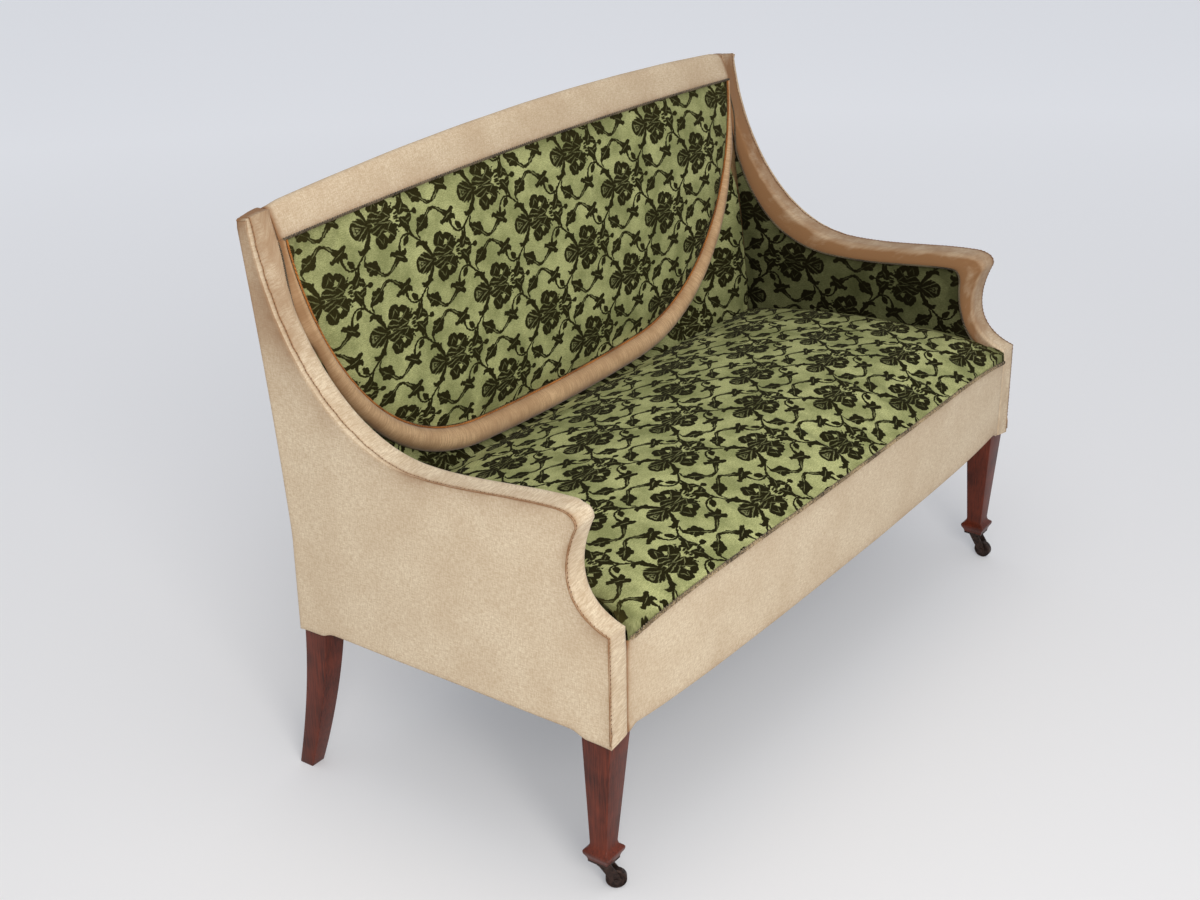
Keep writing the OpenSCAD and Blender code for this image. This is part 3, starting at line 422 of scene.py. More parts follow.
def puff(obj, shape, cap, held_rows, pressure):
    """Blows a closed form up as stuffed cloth: its back and its edges are held, and no point
    moves further than cap, in mm."""
    m, n = shape
    i, j = np.meshgrid(np.arange(m), np.arange(n), indexing="ij")
    from_edge = np.minimum(np.minimum(i, m - 1 - i), np.minimum(j, n - 1 - j)).ravel()
    held = np.concatenate([np.clip(1 - from_edge / held_rows, 0, 1), np.ones(m * n)])
    group = obj.vertex_groups.new(name="sewn")
    for k in np.nonzero(held > 0)[0]:
        group.add([int(k)], float(held[k]), "REPLACE")
    rest = points_of(obj)
    cloth = obj.modifiers.new("Stuffed cloth", "CLOTH")
    s = cloth.settings
    s.quality = 4
    s.mass = 0.4
    s.tension_stiffness = s.compression_stiffness = 8
    s.shear_stiffness = 4
    s.bending_stiffness = 0.3
    s.shrink_min = -0.012
    s.use_pressure = True
    s.uniform_pressure_force = pressure
    s.effector_weights.gravity = 0
    s.vertex_group_mass = "sewn"
    s.pin_stiffness = 1
    last = 20
    cloth.point_cache.frame_start, cloth.point_cache.frame_end = 1, last
    for f in range(1, last + 1):
        bpy.context.scene.frame_set(f)
    pick(obj)
    bpy.ops.object.modifier_apply(modifier=cloth.name)
    moved = points_of(obj) - rest
    far = np.linalg.norm(moved, axis=1)
    keep = np.where(far > 1e-9, np.minimum(far, cap) / np.maximum(far, 1e-9), 0)
    place_points(obj, rest + moved * keep[:, None])
    obj.vertex_groups.clear()
    bpy.context.scene.frame_set(1)


def mesh_piece(name, points, faces, cloth, wear_and_shade):
    """A piece of points in mm and the faces between them, with its two values on each point."""
    mesh = bpy.data.meshes.new(name)
    mesh.from_pydata([tuple(p) for p in points * MM], [], faces)
    obj = bpy.data.objects.new(name, mesh)
    bpy.context.scene.collection.objects.link(obj)
    write_values(obj, "cloth", np.reshape(cloth, (-1, 2)))
    write_values(obj, "wear_and_shade", np.ravel(wear_and_shade))
    return obj


def tube_piece(name, rings, cloth, wear_and_shade=None):
    """A closed tube through rings of points, for cords and rolls that bend in three directions."""
    rings = np.asarray(rings, float)
    m, n = rings.shape[:2]
    faces = [(i * n + j, i * n + (j + 1) % n, (i + 1) * n + (j + 1) % n, (i + 1) * n + j)
             for i in range(m - 1) for j in range(n)]
    faces += [tuple(range(n - 1, -1, -1)), tuple((m - 1) * n + j for j in range(n))]
    return mesh_piece(name, rings.reshape(-1, 3), faces, cloth, np.zeros(m * n) if wear_and_shade is None else wear_and_shade)


def frames_along(path, up):
    """Directions square to a path: to its side, and on top of it."""
    d = np.gradient(path, axis=0)
    d /= np.linalg.norm(d, axis=1)[:, None]
    side = np.cross(d, np.array(up, float))
    side /= np.linalg.norm(side, axis=1)[:, None]
    return side, np.cross(side, d)


def twisted_cord(name, path, up, radius, pitch, sides=6, step=1.3):
    """Two strands laid round a path, one turn in each pitch, all in mm."""
    path = even_path(path, step)
    side, top = frames_along(path, up)
    along = lengths(path)
    strand = radius * 0.5
    parts = []
    for k in range(2):
        turn = (2 * math.pi * (along / pitch + k / 2))[:, None]
        line = path + strand * (np.cos(turn) * side + np.sin(turn) * top)
        across, over = frames_along(line, up)
        a = 2 * math.pi * np.arange(sides) / sides
        round_it = np.cos(a)[:, None] * across[:, None] + np.sin(a)[:, None] * over[:, None]
        rings = line[:, None] + strand * round_it
        spot = np.stack([np.repeat(along[:, None], sides, 1), np.repeat((k * 20 + a)[None], len(along), 0)],
                        2)
        parts.append(tube_piece(f"{name}_{k}", rings, spot))
    obj = join(parts, name)
    point_outwards(obj)
    return obj


def join(parts, name):
    """Makes one piece of several."""
    deselect_all()
    for p in parts:
        p.select_set(True)
    bpy.context.view_layer.objects.active = parts[0]
    bpy.ops.object.join()
    obj = bpy.context.object
    obj.name = obj.data.name = name
    return obj


def point_outwards(obj):
    """Merges doubles and turns the faces of a closed form outwards."""
    pick(obj)
    bpy.ops.object.mode_set(mode="EDIT")
    bpy.ops.mesh.select_all(action="SELECT")
    bpy.ops.mesh.remove_doubles(threshold=0.00001)
    bpy.ops.mesh.normals_make_consistent(inside=False)
    bpy.ops.object.mode_set(mode="OBJECT")


def finish_piece(obj, material, stands_for=(), angle=50):
    """Gives a piece its finish and its place in the frame: all new pieces ride on the sofa."""
    pick(obj)
    bpy.ops.object.shade_smooth_by_angle(angle=math.radians(angle))
    obj.data.materials.clear()
    obj.data.materials.append(material)
    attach(obj, "sofa")
    if stands_for:
        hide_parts(*stands_for)


def mirrored(rows):
    """Rows of the right-hand side turned over to the left, with their front still outwards."""
    rows = np.array(rows, float)
    rows[..., 0] *= -1
    return rows[:, ::-1]


# Finishes

def node(tree, kind, inputs=(), **settings):
    """Adds a node with its settings; each input is a number, a colour or another node's socket."""
    n = tree.nodes.new(kind)
    for key, value in settings.items():
        setattr(n, key, value)
    for key, value in dict(inputs).items():
        if isinstance(value, bpy.types.NodeSocket):
            tree.links.new(value, n.inputs[key])
        else:
            n.inputs[key].default_value = value
    return n


def new_finish(name, colour, **sockets):
    """A material with its shader's plain sockets set; returns it, its tree and its shader."""
    mat = bpy.data.materials.get(name) or bpy.data.materials.new(name)
    mat.use_nodes = True
    tree = mat.node_tree
    shader = next(n for n in tree.nodes if n.type == "BSDF_PRINCIPLED")
    shader.inputs["Base Color"].default_value = (*colour, 1)
    for key, value in sockets.items():
        shader.inputs[key.replace("_", " ")].default_value = value
    mat.diffuse_color = (*colour, 1)
    return mat, tree, shader


def seen_straight(tree):
    """1 for what the camera sees straight on, in a shine or through glass."""
    path = node(tree, "ShaderNodeLightPath").outputs
    both = node(tree, "ShaderNodeMath", {0: path["Is Camera Ray"], 1: path["Is Glossy Ray"]},
                operation="ADD")
    return node(tree, "ShaderNodeMath", {0: both.outputs[0], 1: path["Is Transmission Ray"]},
                operation="ADD", use_clamp=True).outputs[0]


def rgba(colour):
    """A linear colour with full opacity."""
    return (*colour, 1)


def per_mm(size):
    """The scale of a pattern on metres whose features are size mm long."""
    return 1000.0 / size


def cloth_place(tree):
    """Places along and across the cloth, in metres, and how worn it is there, which on some pieces also
    holds painted shade.
    """
    where = node(tree, "ShaderNodeAttribute", attribute_name="cloth", attribute_type="GEOMETRY")
    scaled = node(tree, "ShaderNodeVectorMath", {0: where.outputs["Vector"], 1: (MM, MM, MM)},
                  operation="MULTIPLY")
    worn = node(tree, "ShaderNodeAttribute", attribute_name="wear_and_shade", attribute_type="GEOMETRY")
    return scaled.outputs["Vector"], worn.outputs["Fac"]


def rose_scroll():
    """A traditional repeat of roses, leaves and scrolling stems, as a group: a place on the cloth
    in metres goes in, and the distances in mm to the edge of the cut pile and to that of the lines
    left uncut in it come out, below zero inside. The repeat is mirrored about each rose and steps
    down by half at the next one."""
    half_u, half_v = 125.0, 84.0

    def stroke(points, widths):
        """Ovals laid end to end along a line, each as wide as the line is there."""
        out = []
        for (x0, y0), (x1, y1), w0, w1 in zip(points, points[1:], widths, widths[1:]):
            w = (w0 + w1) / 2
            out.append(((x0 + x1) / 2, (y0 + y1) / 2, math.hypot(x1 - x0, y1 - y0) * 0.58 + w * 0.55, w,
                        math.degrees(math.atan2(y1 - y0, x1 - x0))))
        return out

    # Each oval: its middle, half its length and width, and its slant
    bud = [(-5, 0, 12.5, 14, 0), (4, 0, 14, 9, 0), (7, 7.5, 15, 4.4, -30), (14, 8.5, 15, 3.4, -36),
           (19, 0, 12, 2.8, 0)]
    sepal = stroke([(29, 1.5), (20, 9), (12.5, 22), (6, 32), (-2, 33.5), (-10, 30)],
                   [2.6, 3.9, 5.6, 5.4, 3.4, 1.6])
    sepal += [(-6, 35, 4.5, 2.4, 20), (13, 29, 4.5, 3, 60)]
    rose = [(40, 33, 8, 6.5, 25), (47, 35, 6.5, 5, 0), (50.5, 28, 7, 7.5, 0), (44, 23, 11, 8, 0),
            (34, 25, 5, 6.5, 15), (60, 30.5, 6, 5, 10), (66, 27, 8, 6.5, -10), (72.5, 22, 6, 6.5, 0),
            (68, 13, 9, 9, 0), (77, 12, 6, 4.4, 0), (52, 7, 23, 10, 0), (36, 12.5, 12, 5.2, 18),
            (30, 8, 8, 3, 22)]
    fringe = [(79.5, 18, 3.4, 1.8, 30), (83, 22, 2, 1.4, 0), (82, 12, 4.5, 1.8, 20),
              (86, 6.5, 5.5, 2, 12), (84, 1.5, 6, 1.8, 0)]
    crown = [(100, 12, 10.5, 9, 30), (101, 20.5, 8, 4, 80), (90, 13.5, 7, 3, -14),
             (109, 8.5, 7.5, 6.2, -22), (97, 5, 8.5, 3.6, 10), (127, 0, 6, 4.6, 0), (119, 0, 5, 1.6, 0),
             (113, 3.5, 5, 3.4, 0)]
    stem = stroke([(77, 50), (79, 41), (84, 34), (91, 30), (99, 29.5), (107, 32), (114, 38), (121, 44),
                   (129, 49)], [2.6, 2.2, 1.9, 1.7, 1.9, 2.5, 2.4, 2.0, 1.7])
    stem += stroke([(104, 14), (106.5, 24), (109, 33)], [4, 2.8, 2.3])
    leaflet = [(95, 38.5, 7, 5.8, -45), (91, 42, 4.5, 3.6, -60), (99, 34, 4, 2, -60)]
    star = [(190.5, 29.5, 11.5, 4.2, -24), (182, 32.5, 4.5, 2.8, 50), (200, 25.5, 9.5, 8.6, -15),
            (208, 27.5, 9, 4.8, 16), (213, 31, 4, 2.8, 60), (206.5, 19.5, 9.5, 5, -40),
            (212.5, 16, 3.6, 3, 10), (202, 35, 8, 3.2, 82), (195, 31, 4, 5.4, 0),
            (193, 20, 8.5, 5.4, 35)]
    ribbon = stroke([(194, 20.5), (186, 15), (177, 8.5), (169, 4.8), (161, 5), (153, 10.5), (146, 16)],
                    [4.8, 4.4, 3.0, 2.6, 3.4, 3.8, 3.6])
    leaf = [(136, 23.5, 12.5, 9, -30), (127, 29, 8.5, 4.6, -38), (144, 27.5, 6.5, 5.4, -10),
            (148, 19, 5.5, 6.8, 20), (133, 15.5, 6.5, 4, 5), (141, 14, 6, 4.4, -25),
            (130, 23, 5.5, 6, 0)]
    leaf += stroke([(124, 32), (123, 38), (127, 44)], [2, 1.7, 1.6])
    pile = bud + sepal + rose + fringe + crown + stem + leaflet + star + ribbon + leaf
    # The lines left uncut between petals and along leaves
    veins = [(1, 9.5, 13, 0.9, -32), (-3, 4, 8, 0.9, -20), (-3, 0, 2.6, 1.5, 0), (11, 4.2, 9, 0.8, -24),
             (-9, 3, 2.2, 3.2, 0), (13, 14.5, 8, 0.8, -50), (38, 8.5, 13, 0.9, -14),
             (44, 15, 11, 0.9, -26), (60, 2.6, 13, 0.9, 8), (34, 2.6, 9, 0.8, -6),
             (67, 8.5, 7, 0.8, -38), (55.5, 21, 4, 1.6, 70), (42, 27, 6, 0.8, 55), (67, 21, 6, 0.8, 40),
             (57, 14, 8, 0.8, 28), (48, 29, 5, 0.7, -60), (97, 0, 9, 1.0, 0), (101, 11, 7, 0.8, 50),
             (109, 8, 5, 0.7, -20), (182, 11.5, 9, 1.0, 36), (153, 10.3, 8, 1.0, -40),
             (135, 23, 9, 0.8, -32), (131, 20, 4, 0.6, 20), (199, 25, 8, 0.7, -24)]

    tree = bpy.data.node_groups.new("Rose and scroll repeat", "ShaderNodeTree")
    tree.interface.new_socket("Place", in_out="INPUT", socket_type="NodeSocketVector")
    tree.interface.new_socket("Distance", in_out="OUTPUT", socket_type="NodeSocketFloat")
    tree.interface.new_socket("To a vein", in_out="OUTPUT", socket_type="NodeSocketFloat")
    start = tree.nodes.new("NodeGroupInput")
    end = tree.nodes.new("NodeGroupOutput")

    # The loom leaves edges a little uneven
    fine = node(tree, "ShaderNodeTexNoise", {"Vector": start.outputs[0], "Scale": per_mm(5), "Detail": 1.0},
                noise_dimensions="2D")
    uneven = node(tree, "ShaderNodeVectorMath",
                  {0: fine.outputs["Color"], 1: (3.0, 3.0, 0.0), 2: (-1.5, -1.5, 0.0)},
                  operation="MULTIPLY_ADD")
    in_mm = node(tree, "ShaderNodeVectorMath",
                 {0: start.outputs[0], 1: (1000.0, 1000.0, 0.0), 2: uneven.outputs[0]},
                 operation="MULTIPLY_ADD")
    uv = node(tree, "ShaderNodeSeparateXYZ", {0: in_mm.outputs[0]})
    wrapped = node(tree, "ShaderNodeMath", {0: uv.outputs["Y"], 1: half_v, 2: -half_v}, operation="WRAP")
    up = node(tree, "ShaderNodeMath", {0: wrapped.outputs[0]}, operation="ABSOLUTE")
    over = node(tree, "ShaderNodeMath", {0: up.outputs[0], 1: half_v / 2}, operation="GREATER_THAN")
    down = node(tree, "ShaderNodeMath", {0: over.outputs[0], 1: -half_v, 2: up.outputs[0]},
                operation="MULTIPLY_ADD")
    v = node(tree, "ShaderNodeMath", {0: down.outputs[0]}, operation="ABSOLUTE")
    stepped = node(tree, "ShaderNodeMath", {0: over.outputs[0], 1: half_u, 2: uv.outputs["X"]},
                   operation="MULTIPLY_ADD")
    u = node(tree, "ShaderNodeMath", {0: stepped.outputs[0], 1: 2 * half_u, 2: 0.0}, operation="WRAP")
    plain = node(tree, "ShaderNodeCombineXYZ", {0: u.outputs[0], 1: v.outputs[0], 2: 1.0})
    turned = node(tree, "ShaderNodeCombineXYZ", {0: u.outputs[0], 1: u.outputs[0], 2: v.outputs[0]})
    other = node(tree, "ShaderNodeCombineXYZ", {0: u.outputs[0], 1: v.outputs[0], 2: v.outputs[0]})
    squares = node(tree, "ShaderNodeVectorMath", {0: turned.outputs[0], 1: other.outputs[0]},
                   operation="MULTIPLY")

    def nearest(ovals):
        """The distance to the nearest oval, each one copied to every place the repeat puts it."""
        best, seen = None, set()
        for cu, cv, a, b, slant in ovals:
            reach = max(a, b) + 1
            for k in (-1, 0, 1):
                for pu, pv, t in ((cu, cv, slant), (cu, -cv, -slant), (cu + half_u, half_v - cv, -slant),
                                  (cu + half_u, half_v + cv, slant)):
                    pu += 2 * half_u * k
                    mark = (round(pu, 2), round(pv, 2), a, b, round(t % 180, 1))
                    inside = -reach < pu < 2 * half_u + reach and -reach < pv < half_v / 2 + reach
                    if mark in seen or not inside:
                        continue
                    seen.add(mark)
                    c, s, size = math.cos(math.radians(t)), math.sin(math.radians(t)), min(a, b) / 2
                    uu = size * (c * c / a ** 2 + s * s / b ** 2)
                    vv = size * (s * s / a ** 2 + c * c / b ** 2)
                    cross = 2 * size * c * s * (1 / a ** 2 - 1 / b ** 2)
                    rest = (-2 * uu * pu - cross * pv, -2 * vv * pv - cross * pu,
                            uu * pu * pu + cross * pu * pv + vv * pv * pv - size)
                    one = node(tree, "ShaderNodeVectorMath", {0: squares.outputs[0], 1: (uu, cross, vv)},
                               operation="DOT_PRODUCT")
                    two = node(tree, "ShaderNodeVectorMath", {0: plain.outputs[0], 1: rest},
                               operation="DOT_PRODUCT")
                    both = node(tree, "ShaderNodeMath", {0: one.outputs["Value"], 1: two.outputs["Value"]},
                                operation="ADD")
                    if best is not None:
                        both = node(tree, "ShaderNodeMath", {0: best.outputs[0], 1: both.outputs[0]},
                                    operation="MINIMUM")
                    best = both
        return best

    tree.links.new(nearest(pile).outputs[0], end.inputs[0])
    tree.links.new(nearest(veins).outputs[0], end.inputs[1])
    return tree


def cut_velvet(name, looks, light=1.0, brown=0.0, shift=(0.0, 0.0), deep=1.0):
    """Cotton velvet woven with cut and uncut pile: the cut roses drink the light and look almost
    black-brown, and the short looped ground between them is yellow-green, ribbed and dusty."""
    mat, tree, shader = new_finish(name, looks.ground, Roughness=0.92, Sheen_Weight=0.02,
                                   Sheen_Roughness=0.4, Specular_IOR_Level=0.04)
    place, worn = cloth_place(tree)
    moved = node(tree, "ShaderNodeVectorMath", {0: place, 1: (shift[0] * MM, shift[1] * MM, 0.0)},
                 operation="ADD").outputs[0]
    group = node(tree, "ShaderNodeGroup",
                 node_tree=bpy.data.node_groups.get("Rose and scroll repeat") or rose_scroll())
    tree.links.new(moved, group.inputs[0])
    pile = node(tree, "ShaderNodeMapRange",
                {"Value": group.outputs[0], "From Min": 0.45, "From Max": -0.45},
                interpolation_type="SMOOTHSTEP").outputs["Result"]
    vein = node(tree, "ShaderNodeMapRange",
                {"Value": group.outputs[1], "From Min": -0.45, "From Max": 0.35, "To Min": 0.54})
    pile = node(tree, "ShaderNodeMath", {0: pile, 1: vein.outputs[0]}, operation="MULTIPLY").outputs[0]
    ground, ground_deep = tuple(looks.ground), tuple(looks.ground_shade)
    # deep darkens a copy's cut pile, as painted shade
    cut, cut_light = (tuple(v * deep for v in c) for c in (looks.cut, looks.cut_light))
    # light scales every colour of a copy: above 1 it is painted light, below 1 painted shade; brown mixes
    # in a dark brown as painted shade
    painted_shadow_brown = np.array((0.05, 0.03, 0.0125))

    def lit(c):
        return (*mix(np.array(c) * light, painted_shadow_brown, brown), 1)

    # Laid nap over 70 mm swells; loops in rows, drawn 1.6 mm apart, a little coarser than they are
    drift = node(tree, "ShaderNodeTexNoise",
                 {"Vector": moved, "Scale": per_mm(70), "Detail": 4.0, "Roughness": 0.6},
                 noise_dimensions="2D")
    drift_in = node(tree, "ShaderNodeMapRange",
                    {"Value": drift.outputs["Fac"], "From Min": 0.35, "From Max": 0.65, "To Max": 0.6})
    rows = node(tree, "ShaderNodeMapping", {0: moved, 3: (per_mm(6.25), per_mm(1.5625), 1.0)})
    loops = node(tree, "ShaderNodeTexNoise", {"Vector": rows.outputs[0], "Scale": 1.0, "Detail": 2.0},
                 noise_dimensions="2D")
    grit = node(tree, "ShaderNodeTexNoise", {"Vector": moved, "Scale": per_mm(1.5), "Detail": 1.0},
                noise_dimensions="2D")
    base = node(tree, "ShaderNodeMix", {0: drift_in.outputs[0], 6: lit(ground), 7: lit(ground_deep)},
                data_type="RGBA").outputs[2]
    loop_in = node(tree, "ShaderNodeMapRange",
                   {"Value": loops.outputs["Fac"], "From Min": 0.3, "From Max": 0.7, "To Max": 0.42})
    base = node(tree, "ShaderNodeMix", {0: loop_in.outputs[0], 6: base, 7: lit(ground_deep)},
                data_type="RGBA").outputs[2]
    grit_in = node(tree, "ShaderNodeMapRange",
                   {"Value": grit.outputs["Fac"], "From Min": 0.35, "From Max": 0.7, "To Max": 0.55})
    dark = node(tree, "ShaderNodeMix", {0: grit_in.outputs[0], 6: lit(cut), 7: lit(cut_light)},
                data_type="RGBA").outputs[2]
    specks = node(tree, "ShaderNodeMapRange",
                  {"Value": grit.outputs["Fac"], "From Min": 0.42, "From Max": 0.68, "To Max": 0.5})
    base = node(tree, "ShaderNodeMix", {0: specks.outputs[0], 6: base, 7: lit(ground_deep)},
                data_type="RGBA").outputs[2]
    both = node(tree, "ShaderNodeMix", {0: pile, 6: base, 7: dark}, data_type="RGBA").outputs[2]
    # The wear and shade values take the colour towards a dark olive brown: soiling, and painted shade on
    # the pieces that carry it
    soiled_and_shaded = node(tree, "ShaderNodeMix", {0: worn, 6: both, 7: lit(srgb("#3A3418"))},
                  data_type="RGBA").outputs[2]
    tree.links.new(soiled_and_shaded, shader.inputs["Base Color"])
    height = node(tree, "ShaderNodeMath", {0: grit.outputs["Fac"], 1: 0.3, 2: pile},
                  operation="MULTIPLY_ADD")
    bump = node(tree, "ShaderNodeBump",
                {"Height": height.outputs[0], "Strength": 0.5, "Distance": 1.1 * MM})
    tree.links.new(bump.outputs[0], shader.inputs["Normal"])
    return mat


def plain_velvet(name, tone, shade, soil_and_shade, streaks=(10.0, 2.0), swell=90.0, contrast=0.32, sheen=0.12,
                 rib=0.0):
    """Mohair velvet, woven and shorn short: matt, paler where the nap leans to the light, darker in
    cloudy patches where it was brushed the other way, and browned with handling along its seams;
    the same brown also paints shade where a piece's wear and shade values hold it."""
    mat, tree, shader = new_finish(name, tone, Roughness=0.95, Sheen_Weight=sheen, Sheen_Roughness=0.4,
                                   Specular_IOR_Level=0.15)
    place, worn = cloth_place(tree)
    cloud = node(tree, "ShaderNodeTexNoise",
                 {"Vector": place, "Scale": per_mm(swell), "Detail": 5.0, "Roughness": 0.6},
                 noise_dimensions="2D")
    cloud_in = node(tree, "ShaderNodeMapRange",
                    {"Value": cloud.outputs["Fac"], "From Min": 0.36, "From Max": 0.66, "To Max": contrast})
    # Pile stands in rows: thread spacing 0.8 mm, drawn at more than twice that so that it shows
    rows = node(tree, "ShaderNodeMapping", {0: place, 3: (per_mm(streaks[0]), per_mm(streaks[1]), 1.0)})
    row_noise = node(tree, "ShaderNodeTexNoise",
                     {"Vector": rows.outputs[0], "Scale": 1.0, "Detail": 2.0, "Roughness": 0.6},
                     noise_dimensions="2D")
    cross = node(tree, "ShaderNodeMapping", {0: place, 3: (per_mm(streaks[1]), per_mm(streaks[0]), 1.0)})
    cross_noise = node(tree, "ShaderNodeTexNoise",
                       {"Vector": cross.outputs[0], "Scale": 1.0, "Detail": 2.0, "Roughness": 0.6},
                       noise_dimensions="2D")
    some = node(tree, "ShaderNodeMath", {0: cross_noise.outputs["Fac"], 1: 1 - rib}, operation="MULTIPLY")
    weave = node(tree, "ShaderNodeMath", {0: row_noise.outputs["Fac"], 1: 1 + rib, 2: some.outputs[0]},
                 operation="MULTIPLY_ADD")
    weave_in = node(tree, "ShaderNodeMapRange",
                    {"Value": weave.outputs[0], "From Min": 0.8, "From Max": 1.24, "To Max": 0.6})
    pile = node(tree, "ShaderNodeTexNoise",
                {"Vector": place, "Scale": per_mm(2.2), "Detail": 3.0, "Roughness": 0.7},
                noise_dimensions="2D")
    tufts = node(tree, "ShaderNodeMapRange",
                 {"Value": pile.outputs["Fac"], "From Min": 0.4, "From Max": 0.62, "To Max": 0.36})
    colour = rgba(tone)
    for share in (cloud_in, tufts, weave_in):
        colour = node(tree, "ShaderNodeMix", {0: share.outputs[0], 6: colour, 7: rgba(shade)},
                      data_type="RGBA").outputs[2]
    # The wear and shade values take the colour towards the seam brown, in patches: soiling, and painted
    # shade on the pieces that carry it
    patch = node(tree, "ShaderNodeMath", {0: cloud.outputs["Fac"], 1: 0.9, 2: 0.55},
                 operation="MULTIPLY_ADD")
    soiling = node(tree, "ShaderNodeMath", {0: worn, 1: patch.outputs[0]}, operation="MULTIPLY",
                   use_clamp=True)
    colour = node(tree, "ShaderNodeMix", {0: soiling.outputs[0], 6: colour, 7: rgba(soil_and_shade)},
                  data_type="RGBA").outputs[2]
    tree.links.new(colour, shader.inputs["Base Color"])
    height = node(tree, "ShaderNodeMath", {0: weave.outputs[0], 1: 0.7, 2: pile.outputs["Fac"]},
                  operation="MULTIPLY_ADD")
    bump = node(tree, "ShaderNodeBump",
                {"Height": height.outputs[0], "Strength": 0.55, "Distance": 0.5 * MM})
    tree.links.new(bump.outputs[0], shader.inputs["Normal"])
    return mat


def wound_cord(name, thread, shade):
    """Cotton gimp and cord, twisted: dull threads that go dark where they turn under."""
    mat, tree, shader = new_finish(name, thread, Roughness=0.85, Sheen_Weight=0.15, Specular_IOR_Level=0.25)
    place, _ = cloth_place(tree)
    threads = node(tree, "ShaderNodeTexNoise", {"Vector": place, "Scale": per_mm(1.4), "Detail": 2.0},
                   noise_dimensions="2D")
    fade = node(tree, "ShaderNodeTexNoise", {"Vector": place, "Scale": per_mm(60), "Detail": 2.0},
                noise_dimensions="2D")
    both = node(tree, "ShaderNodeMath", {0: threads.outputs["Fac"], 1: fade.outputs["Fac"]},
                operation="MULTIPLY")
    level = node(tree, "ShaderNodeMapRange", {"Value": both.outputs[0], "From Min": 0.12, "From Max": 0.38})
    colour = node(tree, "ShaderNodeMix", {0: level.outputs[0], 6: rgba(shade), 7: rgba(thread)},
                  data_type="RGBA").outputs[2]
    tree.links.new(colour, shader.inputs["Base Color"])
    bump = node(tree, "ShaderNodeBump",
                {"Height": threads.outputs["Fac"], "Strength": 0.4, "Distance": 0.4 * MM})
    tree.links.new(bump.outputs[0], shader.inputs["Normal"])
    return mat


def wood(name, light, dark, roughness, coat, grain=(2.2, 60.0), axis=2):
    """Planed timber with grain along one axis: mahogany is stained and waxed to a soft shine, and
    beech is pale, bare and dry."""
    mat, tree, shader = new_finish(name, light, Roughness=roughness, Coat_Weight=coat, Coat_Roughness=0.3,
                                   Specular_IOR_Level=0.25)
    co = node(tree, "ShaderNodeTexCoord").outputs["Object"]
    stretch = [per_mm(grain[0])] * 3
    stretch[axis] = per_mm(grain[1])
    lines = node(tree, "ShaderNodeMapping", {0: co, 3: tuple(stretch)})
    figure = node(tree, "ShaderNodeTexNoise",
                  {"Vector": lines.outputs[0], "Scale": 1.0, "Detail": 4.0, "Roughness": 0.65,
                   "Distortion": 0.6})
    broad = node(tree, "ShaderNodeTexNoise", {"Vector": co, "Scale": per_mm(45), "Detail": 2.0})
    both = node(tree, "ShaderNodeMath", {0: broad.outputs["Fac"], 1: 0.6, 2: figure.outputs["Fac"]},
                operation="MULTIPLY_ADD")
    level = node(tree, "ShaderNodeMapRange", {"Value": both.outputs[0], "From Min": 0.55, "From Max": 1.05})
    colour = node(tree, "ShaderNodeMix", {0: level.outputs[0], 6: rgba(light), 7: rgba(dark)},
                  data_type="RGBA").outputs[2]
    tree.links.new(colour, shader.inputs["Base Color"])
    bump = node(tree, "ShaderNodeBump",
                {"Height": figure.outputs["Fac"], "Strength": 0.15, "Distance": 0.3 * MM})
    tree.links.new(bump.outputs[0], shader.inputs["Normal"])
    return mat


def metal(name, colour, dirt, roughness, size, metallic=1.0):
    """Steel or cast iron: wire and screws are drawn and bright, and the casters are cast and gone
    brown and dull with old bronze paint and dirt."""
    mat, tree, shader = new_finish(name, colour, Metallic=metallic)
    co = node(tree, "ShaderNodeTexCoord").outputs["Object"]
    patches = node(tree, "ShaderNodeTexNoise",
                   {"Vector": co, "Scale": per_mm(size), "Detail": 4.0, "Roughness": 0.65})
    level = node(tree, "ShaderNodeMapRange",
                 {"Value": patches.outputs["Fac"], "From Min": 0.4, "From Max": 0.65})
    tint = node(tree, "ShaderNodeMix", {0: level.outputs[0], 6: rgba(colour), 7: rgba(dirt)},
                data_type="RGBA").outputs[2]
    tree.links.new(tint, shader.inputs["Base Color"])
    rough = node(tree, "ShaderNodeMapRange",
                 {"Value": patches.outputs["Fac"], "From Min": 0.35, "From Max": 0.7,
                  "To Min": roughness - 0.12, "To Max": roughness + 0.15})
    tree.links.new(rough.outputs[0], shader.inputs["Roughness"])
    bump = node(tree, "ShaderNodeBump",
                {"Height": patches.outputs["Fac"], "Strength": 0.25, "Distance": 0.4 * MM})
    tree.links.new(bump.outputs[0], shader.inputs["Normal"])
    return mat


def plain_cloth(name, thread, gap, pitch):
    """Plain-woven jute, hessian or cotton: coarse threads over and under each other."""
    mat, tree, shader = new_finish(name, thread, Roughness=0.95)
    co = node(tree, "ShaderNodeTexCoord").outputs["Object"]
    wave = {"Vector": co, "Scale": per_mm(pitch) / 6.283, "Distortion": 1.5, "Detail": 2.0}
    along, across = (node(tree, "ShaderNodeTexWave", wave, bands_direction=way) for way in "XY")
    weave = node(tree, "ShaderNodeMath", {0: along.outputs["Fac"], 1: across.outputs["Fac"]},
                 operation="MULTIPLY")
    colour = node(tree, "ShaderNodeMix", {0: weave.outputs[0], 6: rgba(gap), 7: rgba(thread)},
                  data_type="RGBA").outputs[2]
    tree.links.new(colour, shader.inputs["Base Color"])
    bump = node(tree, "ShaderNodeBump", {"Height": weave.outputs[0], "Strength": 0.5, "Distance": 0.5 * MM})
    tree.links.new(bump.outputs[0], shader.inputs["Normal"])
    return mat


